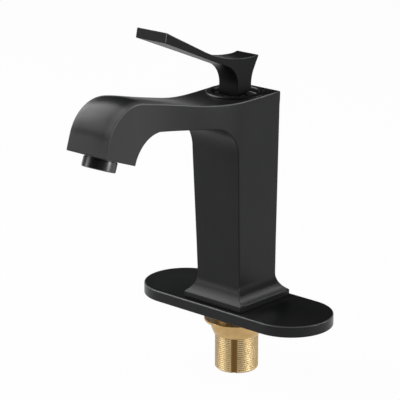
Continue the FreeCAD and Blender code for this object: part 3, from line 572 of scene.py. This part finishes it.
def smooth_through(table, at):
    """Value of a smooth curve through (place, value) pairs, places falling."""
    last = len(table) - 1
    i = 0
    while i < last - 1 and at < table[i + 1][0]:
        i += 1
    (p1, v1), (p2, v2) = table[i], table[i + 1]
    p0, v0 = table[max(i - 1, 0)]
    p3, v3 = table[min(i + 2, last)]
    t = clamped((at - p1) / (p2 - p1))
    slope_1 = (v2 - v0) / (p2 - p0) * (p2 - p1)
    slope_2 = (v3 - v1) / (p3 - p1) * (p2 - p1)
    a = 2 * t ** 3 - 3 * t ** 2 + 1
    b = t ** 3 - 2 * t ** 2 + t
    c = t ** 3 - t ** 2
    return a * v1 + b * slope_1 + (1 - a) * v2 + c * slope_2


def fade(value, start, end):
    """Smooth rise from 0 at the start to 1 at the end."""
    t = clamped((value - start) / (end - start))
    return t * t * (3 - 2 * t)


def is_within(point, loop):
    """True where a point lies inside a closed outline."""
    inside = False
    for i, here in enumerate(loop):
        before = loop[i - 1]
        if (here.y > point.y) != (before.y > point.y):
            if point.x < (before.x - here.x) * (point.y - here.y) / (before.y - here.y) + here.x:
                inside = not inside
    return inside


def inward_and_room(outline):
    """At each point of a closed outline, the mitred way inwards and the largest edge radius that fits."""
    count = len(outline)
    inward, room = [], []
    for i, here in enumerate(outline):
        run_1, run_2 = here - outline[i - 1], outline[(i + 1) % count] - here
        along_1, along_2 = run_1.normalized(), run_2.normalized()
        mean = (along_1 + along_2).normalized()
        inward.append(Vector((-mean.y, mean.x)) / max(MITRE_LIMIT, mean.dot(along_1)))
        turn = math.atan2(along_1.cross(along_2), along_1.dot(along_2))
        room.append(CORNER_ROOM * (run_1.length + run_2.length) / 2 / max(turn, STRAIGHT_TURN))
    nearby = range(-CORNER_REACH, CORNER_REACH + 1)
    return inward, [min(room[(i + k) % count] for k in nearby) for i in range(count)]


def strip(one, two, turned_over):
    """Quads between two closed loops of point numbers."""
    count = len(one)
    quads = [(one[i], two[i], two[(i + 1) % count], one[(i + 1) % count]) for i in range(count)]
    return [quad[::-1] for quad in quads] if turned_over else quads


def grid_within(rim, grid, extra_levels):
    """Grid points inside a rim, clear of it, on even levels and on some extra ones."""
    low_y, high_y = min(p.x for p in rim), max(p.x for p in rim)
    low_z, high_z = min(p.y for p in rim), max(p.y for p in rim)
    levels = [low_z + grid * i for i in range(1, int((high_z - low_z) / grid) + 1)] + list(extra_levels)
    columns = [low_y + grid * i for i in range(1, int((high_y - low_y) / grid) + 1)]
    clearance = GRID_CLEARANCE * grid
    inside = [Vector((y, z)) for z in levels for y in columns]
    return [p for p in inside if is_within(p, rim) and min((p - q).length for q in rim) > clearance]


def slab_with_soft_edges(name, outline, half_width, edge_radius, tilt, glint, grid, extra_levels=()):
    """Solid with a side outline in (y, z), a half width at each point and rounded outer edges.

    Where the tilt isn't zero, the face between the edges is crowned and leans by it at each edge.
    """
    count = len(outline)
    inward, room = inward_and_room(outline)
    radii = [min(edge_radius(here.x, here.y), most) for here, most in zip(outline, room)]
    points, faces, loops, glint_share = [], [], {}, []
    for side in (1, -1):
        for step in range(EDGE_STEPS + 1):
            loop = []
            for here, push, r in zip(outline, inward, radii):
                lean = tilt(here, push)
                a = lean + (math.pi / 2 - lean) * step / EDGE_STEPS
                at = here + push * r * (1 - math.cos(a))
                centre = here + push * r
                x = half_width(centre.x, centre.y) - r + r * math.sin(a)
                loop.append(len(points))
                points.append((side * x, at.x, at.y))
                # Share of the painted edge highlight, strongest midway round each edge's rounding.
                glint_share.append(math.sin(2 * a) * glint(here.x, here.y))
            loops[side, step] = loop
        for step in range(EDGE_STEPS):
            faces += strip(loops[side, step], loops[side, step + 1], turned_over=side > 0)
    across = [loops[-1, 0]]
    for step in range(1, CROWN_STEPS):
        u = 2 * step / CROWN_STEPS - 1
        loop = []
        for i, (here, push) in enumerate(zip(outline, inward)):
            x, y, z = points[loops[1, 0][i]]
            at = Vector((y, z)) - push * x * math.tan(tilt(here, push)) / 2 * (1 - u * u)
            loop.append(len(points))
            points.append((u * x, at.x, at.y))
        across.append(loop)
    across.append(loops[1, 0])
    for one, two in zip(across, across[1:]):
        faces += strip(one, two, turned_over=True)
    rim = [Vector(points[i][1:]) for i in loops[1, EDGE_STEPS]]
    rim_edges = [(i, (i + 1) % count) for i in range(count)]
    flat = delaunay_2d_cdt(rim + grid_within(rim, grid, extra_levels), rim_edges, [], 1, 1e-5)
    flat_points, flat_triangles, flat_origins = flat[0], flat[2], flat[3]
    for side in (1, -1):
        ids = []
        for at, origins in zip(flat_points, flat_origins):
            if origins and origins[0] < count:
                ids.append(loops[side, EDGE_STEPS][origins[0]])
            else:
                ids.append(len(points))
                points.append((side * half_width(at.x, at.y), at.x, at.y))
        for triangle in flat_triangles:
            face = tuple(ids[i] for i in triangle)
            faces.append(face if side > 0 else face[::-1])
    piece = make_piece(name, points, faces)
    store_on_points(piece, "painted_glint", glint_share + [0.0] * (len(points) - len(glint_share)))
    return piece


def prism(outline, low, high):
    """Closed tool with upright sides on a flat outline."""
    count = len(outline)
    points = [(x, y, z) for z in (low, high) for x, y in outline]
    faces = [(i, (i + 1) % count, count + (i + 1) % count, count + i) for i in range(count)]
    faces += [tuple(reversed(range(count))), tuple(range(count, 2 * count))]
    return make_piece("tool", points, faces)


def drill(radius, low, high, axis_x=0.0, axis_y=0.0):
    """Closed round tool for a hole on a vertical axis."""
    return prism(arc((axis_x, axis_y), radius, 0, 360, TURN_STEPS)[:-1], low, high)


def cut_with(piece, cutters):
    """Cut closed tool meshes out of a piece and remove the tools."""
    for tool in cutters:
        cut = piece.modifiers.new("cut", "BOOLEAN")
        cut.object = tool
        cut.operation = "DIFFERENCE"
        cut.solver = "EXACT"
    bpy.context.view_layer.update()
    shaped = bpy.data.meshes.new_from_object(piece.evaluated_get(bpy.context.evaluated_depsgraph_get()))
    piece.modifiers.clear()
    piece.data = shaped
    for tool in cutters:
        bpy.data.objects.remove(tool)


def cove_arc(neck, spacing):
    """Hollow curve from the foot's rim in to a neck, as (distance out, height) points going up."""
    middle = ((FOOT_HALF + neck) / 2 - COVE_HOLLOW, COVE_TOP - COVE_MID_DROP)
    return arc_through((FOOT_HALF, FOOT_RIM_TOP), middle, (neck, COVE_TOP), spacing)


def turned_point(centre, radius, degrees):
    """Point of a circle at an angle."""
    return arc(centre, radius, degrees, degrees, 1)[0]


rise_centre = (RISE_START[0], RISE_START[1] + RISE_RADIUS)
rise_end = turned_point(rise_centre, RISE_RADIUS, 270 - RISE_ANGLE)
rise_run = rise_end[0] - CROWN_START_Y
crown_start = (CROWN_START_Y, rise_end[1] + rise_run * math.tan(math.radians(RISE_ANGLE)))
crown_centre = turned_point(crown_start, CROWN_RADIUS, 270 - RISE_ANGLE)
crown_end = turned_point(crown_centre, CROWN_RADIUS, 180 - FRONT_LEAN)
front_drop = crown_end[1] - OUTLET_FRONT_Z
outlet_front = (crown_end[0] - front_drop * math.tan(math.radians(FRONT_LEAN)), OUTLET_FRONT_Z)
back_cove = cove_arc(COLUMN_BACK, spacing=1.0)
front_cove = [(-out, up) for out, up in reversed(cove_arc(-COLUMN_FRONT, spacing=1.0))]
side_cove = cove_arc(COLUMN_HALF_LOW, spacing=0.4)
body_outline = [(FOOT_HALF, PLATE_TOP)] + back_cove + [TOP_BACK]
body_outline += arc(rise_centre, RISE_RADIUS, 270, 270 - RISE_ANGLE, RISE_STEPS)
body_outline += arc(crown_centre, CROWN_RADIUS, 90 - RISE_ANGLE, 180 - FRONT_LEAN, CROWN_ARC_STEPS)
body_outline += [outlet_front] + arc_through(OUTLET_BACK, *HOOK) + arc_through(*ARCH)
body_outline += front_cove + [(-FOOT_HALF, PLATE_TOP)]
body_outline = soften(body_outline, BODY_CORNER, BODY_SPACING)


def body_half_width(y, z):
    """Half width of the body: the foot, its cove, the tapering column and the waist of the spout."""
    if z <= FOOT_RIM_TOP:
        return FOOT_HALF
    if z < COVE_TOP:
        for (out, low), (out_2, high) in zip(side_cove, side_cove[1:]):
            if low <= z <= high:
                return out + (out_2 - out) * (z - low) / (high - low)
    taper = (COLUMN_HALF_TOP - COLUMN_HALF_LOW) / (COLUMN_HALF_TOP_Z - COVE_TOP)
    column = COLUMN_HALF_LOW + taper * (z - COVE_TOP)
    waist = smooth_through(WAIST_PLAN, min(y, WAIST_PLAN[0][0]))
    share = clamped(0.5 + 0.5 * (waist - column) / WAIST_BLEND)
    return waist + (column - waist) * share - WAIST_BLEND * share * (1 - share)


def body_edge(y, z):
    """Edges are crisp on the foot and at the outlet, and softer on the column and the spout."""
    rise = clamped((z - FOOT_RIM_TOP) / (2 * COVE_TOP - FOOT_RIM_TOP))
    radius = FOOT_EDGE + (SPOUT_EDGE - FOOT_EDGE) * rise
    if y < HOOK[1][0]:
        above = clamped((z - OUTLET_FRONT_Z - OUTLET_EDGE_RISE) / CROWN_RADIUS)
        radius = OUTLET_EDGE + (radius - OUTLET_EDGE) * above
    return radius


def crown_tilt(at, inward):
    """Lean of the crown's face at its edges, fading along the spout and above the outlet."""
    facing = clamped(CROWN_FACING.dot(inward))
    return math.radians(CROWN_TILT) * facing * fade(at.x, *CROWN_FADE_Y) * fade(at.y, *CROWN_FADE_Z)


def body_glint(y, z):
    """How strong the painted highlight on the edges is: little on the foot and at the outlet."""
    above_foot = fade(z, COVE_TOP, 2 * COVE_TOP)
    above_outlet = fade(z, OUTLET_FRONT_Z, OUTLET_FRONT_Z + CROWN_RADIUS) if y < HOOK[1][0] else 1.0
    return (FOOT_GLINT + (1 - FOOT_GLINT) * above_foot) * (OUTLET_GLINT + (1 - OUTLET_GLINT) * above_outlet)


cove_levels = [FOOT_RIM_TOP + above for above in COVE_LEVELS_AT_RIM]
cove_levels += [FOOT_RIM_TOP + COVE_LEVEL_STEP * i for i in range(1, COVE_LEVEL_COUNT + 1)]
cove_levels += [COVE_TOP + COVE_LEVEL_PAST]
body = slab_with_soft_edges("column_and_spout", body_outline, body_half_width, body_edge, crown_tilt,
                            body_glint, BODY_GRID, cove_levels)
# The spout's sides are painted paler towards the outlet: a painted sheen that stands for light falling
# there.
store_on_points(body, "painted_sheen", [SIDE_SHEEN * fade(vertex.co.y / MM, *SIDE_SHEEN_FADE_Y) for vertex in body.data.vertices])
outlet_middle = (Vector(outlet_front) + Vector(OUTLET_BACK)) / 2
outlet_tilt = math.atan2(outlet_front[1] - OUTLET_BACK[1], OUTLET_BACK[0] - outlet_front[0])
outlet_turn = Matrix.Rotation(math.pi - outlet_tilt, 4, "X")
on_outlet = Matrix.Translation(Vector((0, *outlet_middle)) * MM) @ outlet_turn
room_reach = HOSE_ROOM_HALF - HOSE_ROOM_CORNER
room_outline = []
for side_x, side_y, start in ((1, 1, 0), (-1, 1, 90), (-1, -1, 180), (1, -1, 270)):
    room_outline += arc((side_x * room_reach, side_y * room_reach), HOSE_ROOM_CORNER, start, start + 90, 6)
aerator_socket = drill(AERATOR_SOCKET_R, -AERATOR_SOCKET_DEPTH, AERATOR_TOOL_OUT)
aerator_socket.data.transform(on_outlet)
body_tools = [
    drill(RING_SEAT_R, RING_SEAT, RING_TOOL_TOP, axis_y=RING_AXIS_Y),
    drill(RING_HOLE_R, POCKET_FLOOR, RING_SEAT + CUT_LAP, axis_y=RING_AXIS_Y),
    drill(SHANK_R, 0.0, SHANK_HIGH + BORE_LAP),
    prism(room_outline, SHANK_HIGH, HOSE_ROOM_TOP),
    aerator_socket,
]
for inlet_x in (-INLET_X, INLET_X):
    body_tools.append(drill(INLET_SPIGOT_R, HOSE_ROOM_TOP - CUT_LAP, INLET_SPIGOT_TOP, inlet_x))
    body_tools.append(drill(INLET_WAY_R, HOSE_ROOM_TOP, POCKET_FLOOR + CUT_LAP, inlet_x))
cut_with(body, body_tools)
keep_edges_crisp(body, degrees=35)
body_coat = textured_finish(
    "satin_black_coat", tone=(0.0106, 0.0108, 0.0113), other_tone=(0.0132, 0.0134, 0.0139),
    highlight_tone=(0.21, 0.21, 0.214), roughness=(0.30, 0.38), grain=2600.0, bump=(0.12, 0.00003),
    Specular_IOR_Level=0.17)
dress(body, body_coat, "satin_black", "root", "faucet_body")

# Cartridge: two lapped ceramic discs between plastic parts, worked by a steel stem on a cross pin.
# All of it sits in the column, under a brass retaining nut, and shows only when the trim is off.
ceramic_finish = textured_finish(
    "lapped_ceramic", tone=(0.80, 0.79, 0.75), other_tone=(0.86, 0.85, 0.82),
    roughness=(0.08, 0.16), grain=3000.0, bump=(0.03, 0.00002))
refinish(ceramic_finish, "fixed_disc", "moving_disc")
charcoal_finish = textured_finish(
    "charcoal_acetal", tone=(0.030, 0.030, 0.032), other_tone=(0.040, 0.040, 0.042),
    roughness=(0.4, 0.55), grain=2200.0, bump=(0.2, 0.00003))
refinish(charcoal_finish, "cartridge_base", "disc_carrier", "cartridge_housing", "swivel")
steel_finish = turned_finish(
    "turned_steel", clean=(0.62, 0.62, 0.63), tarnish=(0.50, 0.50, 0.51), groove_shade=(0.08, 0.08, 0.08),
    roughness=(0.22, 0.38), bump=(0.1, 0.00002))
refinish(steel_finish, "pivot_pin", "stem", "set_screw")
refinish(brass_finish, "cartridge_nut", "hot_inlet_socket", "cold_inlet_socket")

# Trim ring: a turned ring, coated like the body, that covers the retaining nut. Its bevelled upper
# rim stands just proud of the body's top round a recess for the handle's post.
ring_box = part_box("trim_ring")
RING_TOP = ring_box[1].z / MM
RING_LOW = ring_box[0].z / MM
RING_R = 21.0
RING_INNER_R = 16.6
RING_FLOOR = 157.6
RING_SKIRT_R = 18.7
RING_POST_R = 10.6
RING_BEVEL = 0.8
RING_FOOT_EASE = (0.15, 0.25)
RING_EASE = 0.1
RING_TOP_EASE = 0.2
RING_FLOOR_BEVEL = 0.4
ring_bevel_low = RING_TOP - RING_BEVEL
ring_outline = [
    (RING_POST_R, RING_LOW),
    (RING_SKIRT_R, RING_LOW),
    (RING_SKIRT_R, RING_SEAT),
    (RING_R, RING_SEAT),
    (RING_R, ring_bevel_low),
    (RING_R - RING_FOOT_EASE[0], ring_bevel_low + RING_FOOT_EASE[1]),
    (RING_R - RING_BEVEL + RING_EASE, RING_TOP - RING_EASE),
    (RING_R - RING_BEVEL - RING_TOP_EASE, RING_TOP),
    (RING_INNER_R + RING_BEVEL, RING_TOP),
    (RING_INNER_R + RING_EASE, ring_bevel_low + RING_EASE),
    (RING_INNER_R, ring_bevel_low - RING_TOP_EASE),
    (RING_INNER_R, RING_FLOOR + RING_FLOOR_BEVEL),
    (RING_INNER_R - RING_FLOOR_BEVEL, RING_FLOOR),
    (RING_POST_R, RING_FLOOR),
]
trim = lathe("trim_collar", ring_outline, RING_AXIS_Y)
keep_edges_crisp(trim, degrees=30)
ring_coat = textured_finish(
    "ring_black_coat", tone=(0.0110, 0.0112, 0.0116), other_tone=(0.0140, 0.0142, 0.0146),
    roughness=(0.30, 0.38), grain=2600.0, bump=(0.08, 0.00002), Specular_IOR_Level=0.20)
dress(trim, ring_coat, "satin_black", "root", "trim_ring")

# Lever handle: one casting, coated like the body. A flared square post rises out of the trim ring
# and its top sweeps forward and up into a flat lever that widens to a square tip. A set screw
# behind a small plug holds it on the stem.
POST_FRONT = -10.1
POST_BACK = 3.6
POST_LOW_FRONT = 158.9
POST_LOW_BACK = 162.2
FLARE = ((POST_BACK, 166.5), (4.2, 171.7), (5.7, 176.2))
HANDLE_BACK = (10.9, 186.7)
VALLEY = (5.0, 186.1)
LEVER_RISE_RADIUS = 113.0
LEVER_RISE_STEPS = 24
LEVER_SLOPE = 25.7
TIP_TOP = (-87.1, 218.3)
TIP_LOW = (-88.5, 211.4)
THROAT_RADIUS = 17.0
THROAT_Z = 167.3
THROAT_TURN = 67.3
THROAT_STEPS = 16
LEVER_PLAN = [(13.0, 10.0), (0.0, 9.2), (-22.0, 9.0), (-42.0, 9.7), (-64.0, 11.4), (-90.0, 14.0)]
LEVER_CORNER = 0.7
LEVER_GRID = 1.8
LEVER_EDGE = 0.5
LEVER_GLINT = 0.2
LEVER_GLINT_FADE_Y = (-60.0, -84.0)
PLUG_R = 3.0
PLUG_Z = 174.0
PLUG_START = 3.46
PLUG_TOOL_END = 30.0
SCREW_R = 2.5
SCREW_LAP = 0.1
STEM_SOCKET_HALF = 4.06
STEM_SOCKET_TOP = 178.2
STEM_TOOL_LOW = 150.0


def lever_half_width(y, z):
    """Half width of the handle, which depends only on how far forward it is."""
    return smooth_through(LEVER_PLAN, y)


def lever_edge(y, z):
    """The handle's edges are softened alike all round."""
    return LEVER_EDGE


def lever_tilt(at, inward):
    """The handle's faces are flat from edge to edge."""
    return 0.0


def lever_glint(y, z):
    """The painted highlight on the edges is strongest at the tip."""
    return LEVER_GLINT + (1 - LEVER_GLINT) * fade(y, *LEVER_GLINT_FADE_Y)


lever_rise_centre = (VALLEY[0], VALLEY[1] + LEVER_RISE_RADIUS)
throat_centre = (POST_FRONT - THROAT_RADIUS, THROAT_Z)
lever_outline = [HANDLE_BACK]
lever_outline += arc(lever_rise_centre, LEVER_RISE_RADIUS, 270, 270 - LEVER_SLOPE, LEVER_RISE_STEPS)
lever_outline += [TIP_TOP, TIP_LOW]
lever_outline += arc(throat_centre, THROAT_RADIUS, THROAT_TURN, 0, THROAT_STEPS)
lever_outline += [(POST_FRONT, POST_LOW_FRONT), (POST_BACK, POST_LOW_BACK)] + arc_through(*FLARE)
lever_outline = soften(lever_outline, LEVER_CORNER, LEVER_GRID)
lever = slab_with_soft_edges("lever_and_post", lever_outline, lever_half_width, lever_edge, lever_tilt,
                             lever_glint, LEVER_GRID)
plug_bore = drill(PLUG_R, PLUG_START, PLUG_TOOL_END)
screw_bore = drill(SCREW_R, RING_AXIS_Y, PLUG_START + SCREW_LAP)
for bore in (plug_bore, screw_bore):
    bore.data.transform(Matrix.Translation((0, 0, PLUG_Z * MM)) @ Matrix.Rotation(-math.pi / 2, 4, "X"))
stem_outline = [(x * STEM_SOCKET_HALF, RING_AXIS_Y + y * STEM_SOCKET_HALF)
                for x, y in ((1, 1), (-1, 1), (-1, -1), (1, -1))]
stem_socket = prism(stem_outline, STEM_TOOL_LOW, STEM_SOCKET_TOP)
cut_with(lever, [plug_bore, stem_socket, screw_bore])
keep_edges_crisp(lever, degrees=35)
# The handle's coat is painted darker than the same coat on the body, as painted shade, and its edges carry a
# bright painted highlight.
lever_shaded_coat = textured_finish(
    "lever_shaded_black_coat", tone=(0.0068, 0.0070, 0.0074), other_tone=(0.0088, 0.0090, 0.0095),
    highlight_tone=(0.70, 0.70, 0.71), roughness=(0.34, 0.44), grain=2600.0, bump=(0.12, 0.00003),
    Specular_IOR_Level=0.10)
dress(lever, lever_shaded_coat, "satin_black", "lever", "lever_handle")
plug_finish = textured_finish(
    "black_plug", tone=(0.016, 0.016, 0.017), other_tone=(0.024, 0.024, 0.025),
    roughness=(0.4, 0.55), grain=2000.0, bump=(0.15, 0.00003))
refinish(plug_finish, "screw_plug", "aerator_insert")

# Aerator: a turned sleeve, coated like the body, screwed up into the outlet. Its outside is plain
# with a fine groove under the spout and a bevelled lower rim round a moulded flow straightener.
AERATOR_R = 11.7
AERATOR_OUT = 7.7
AERATOR_THREAD_R = 10.8
AERATOR_BORE_R = 9.2
AERATOR_IN = -10.6
AERATOR_LIP = 0.6
AERATOR_LIP_DEPTH = 1.2
AERATOR_LIP_BEVEL = 0.4
AERATOR_GROOVE = 0.7
AERATOR_GROOVE_DEPTH = 0.5
AERATOR_GROOVE_BEVEL = ((0.1, 0.8), (0.0, 1.0))
AERATOR_RIM_BEVEL = ((0.0, 0.7), (0.15, 0.3), (0.6, 0.0))
aerator_lip_r = AERATOR_BORE_R - AERATOR_LIP
groove_r = AERATOR_R - AERATOR_GROOVE_DEPTH
aerator_outline = [(AERATOR_BORE_R, AERATOR_IN), (AERATOR_THREAD_R, AERATOR_IN), (AERATOR_THREAD_R, 0.0)]
aerator_outline += [(groove_r, 0.0), (groove_r, AERATOR_GROOVE)]
aerator_outline += [(AERATOR_R - inset, out) for inset, out in AERATOR_GROOVE_BEVEL]
aerator_outline += [(AERATOR_R - inset, AERATOR_OUT - short) for inset, short in AERATOR_RIM_BEVEL]
aerator_outline += [(AERATOR_BORE_R, AERATOR_OUT), (aerator_lip_r, AERATOR_OUT - AERATOR_LIP_BEVEL)]
aerator_outline += [(r, AERATOR_OUT - AERATOR_LIP_DEPTH) for r in (aerator_lip_r, AERATOR_BORE_R)]
aerator = lathe("aerator_sleeve", aerator_outline)
aerator.data.transform(on_outlet)
keep_edges_crisp(aerator, degrees=30)
aerator_coat = textured_finish(
    "aerator_black_coat", tone=(0.0120, 0.0122, 0.0126), other_tone=(0.0160, 0.0162, 0.0166),
    roughness=(0.22, 0.32), grain=2600.0, bump=(0.05, 0.00002), Specular_IOR_Level=0.7)
dress(aerator, aerator_coat, "satin_black", "root", "aerator_housing")

# Floor: a plain white sweep under the end of the shank. It is matte and grey to the light, and
# glows white to the camera, in reflections and through clear things.
FLOOR_HALF = 6.0
FLOOR_GLOW = 0.975
FLOOR_TONE = (0.6, 0.6, 0.6, 1)
floor_z = cad_box[0][2]
floor_corners = [(x * FLOOR_HALF, y * FLOOR_HALF, floor_z) for x, y in ((-1, -1), (1, -1), (1, 1), (-1, 1))]
floor_mesh = bpy.data.meshes.new("white_floor")
floor_mesh.from_pydata(floor_corners, [], [(0, 1, 2, 3)])
floor = bpy.data.objects.new("white_floor", floor_mesh)
bpy.context.scene.collection.objects.link(floor)
floor_paint = bpy.data.materials.new("white_sweep")
floor_paint.use_nodes = True
floor_tree = floor_paint.node_tree
floor_tree.nodes.remove(floor_tree.nodes["Principled BSDF"])
floor_matte = add_node(floor_tree, "BsdfDiffuse", Color=FLOOR_TONE)
floor_glow = add_node(floor_tree, "Emission", Color=(1, 1, 1, 1), Strength=1.0)
floor_rays = floor_tree.nodes.new("ShaderNodeLightPath").outputs
floor_seen = floor_rays["Is Camera Ray"]
for other in ("Is Glossy Ray", "Is Transmission Ray"):
    floor_seen = add_math(floor_tree, "MAXIMUM", floor_seen, floor_rays[other])
floor_mix = floor_tree.nodes.new("ShaderNodeMixShader")
feed(floor_tree, floor_mix.inputs["Fac"], add_math(floor_tree, "MULTIPLY", floor_seen, FLOOR_GLOW))
feed(floor_tree, floor_mix.inputs[1], floor_matte.outputs["BSDF"])
feed(floor_tree, floor_mix.inputs[2], floor_glow.outputs["Emission"])
feed(floor_tree, floor_tree.nodes["Material Output"].inputs["Surface"], floor_mix.outputs["Shader"])
floor_mesh.materials.append(floor_paint)

# Light: a dim room and soft panels, set round the faucet at the heights of its faces. The high ones
# on the left light its tops and front, and two on the right keep the column's side from going black.
ROOM_STRENGTH = 0.02
room = bpy.data.worlds.new("soft_room")
bpy.context.scene.world = room
room.use_nodes = True
room_light = room.node_tree.nodes["Background"].inputs
room_light["Color"].default_value = (1, 1, 1, 1)
room_light["Strength"].default_value = ROOM_STRENGTH


def soft_panel(name, place, target, size, watts):
    """Rectangular lamp at a place in metres, turned to a target."""
    lamp = bpy.data.lights.new(name, "AREA")
    lamp.shape = "RECTANGLE"
    lamp.size, lamp.size_y = size
    lamp.energy = watts
    panel = bpy.data.objects.new(name, lamp)
    panel.location = place
    panel.rotation_euler = (Vector(target) - Vector(place)).to_track_quat("-Z", "Y").to_euler()
    bpy.context.scene.collection.objects.link(panel)


soft_panel("left_high_panel", (-0.85, -0.10, 0.95), (0, -0.06, 0.14), size=(0.8, 0.7), watts=10.8)
soft_panel("left_front_panel", (-0.80, -0.70, 0.80), (0, -0.06, 0.12), size=(0.7, 0.6), watts=6.4)
soft_panel("front_low_panel", (-0.95, -1.10, 0.25), (0, -0.06, 0.12), size=(0.6, 0.35), watts=3.2)
soft_panel("back_low_panel", (-1.10, 1.20, 0.15), (0, -0.04, 0.14), size=(0.9, 0.25), watts=0.2)
soft_panel("right_panel", (1.30, 0.35, 0.15), (0, -0.06, 0.10), size=(0.4, 0.4), watts=7.8)
soft_panel("right_back_panel", (0.60, 0.95, 0.75), (0, -0.02, 0.05), size=(0.5, 0.4), watts=4.8)

# Camera: a long lens from the front right and a little above, as the faucet is pictured. It looks
# at a point in the plane of symmetry, just in front of the column.
CAMERA_TARGET = (0.0, -0.03959, 0.0895)
CAMERA_DISTANCE = 1.45108
CAMERA_AZIMUTH = math.radians(42.361)
CAMERA_ELEVATION = math.radians(16.882)
CAMERA_LENS = 186.84
camera = bpy.data.cameras.new("camera")
camera.lens = CAMERA_LENS
camera.sensor_width = 36.0
camera.clip_end = 20.0
view = bpy.data.objects.new("camera", camera)
sideways_turn = Matrix.Rotation(CAMERA_AZIMUTH, 4, "Z")
downward_turn = Matrix.Rotation(math.pi / 2 - CAMERA_ELEVATION, 4, "X")
back_from_target = Matrix.Translation((0, 0, CAMERA_DISTANCE))
view.matrix_world = Matrix.Translation(CAMERA_TARGET) @ sideways_turn @ downward_turn @ back_from_target
bpy.context.scene.collection.objects.link(view)
bpy.context.scene.camera = view
bpy.context.scene.view_settings.view_transform = "Standard"
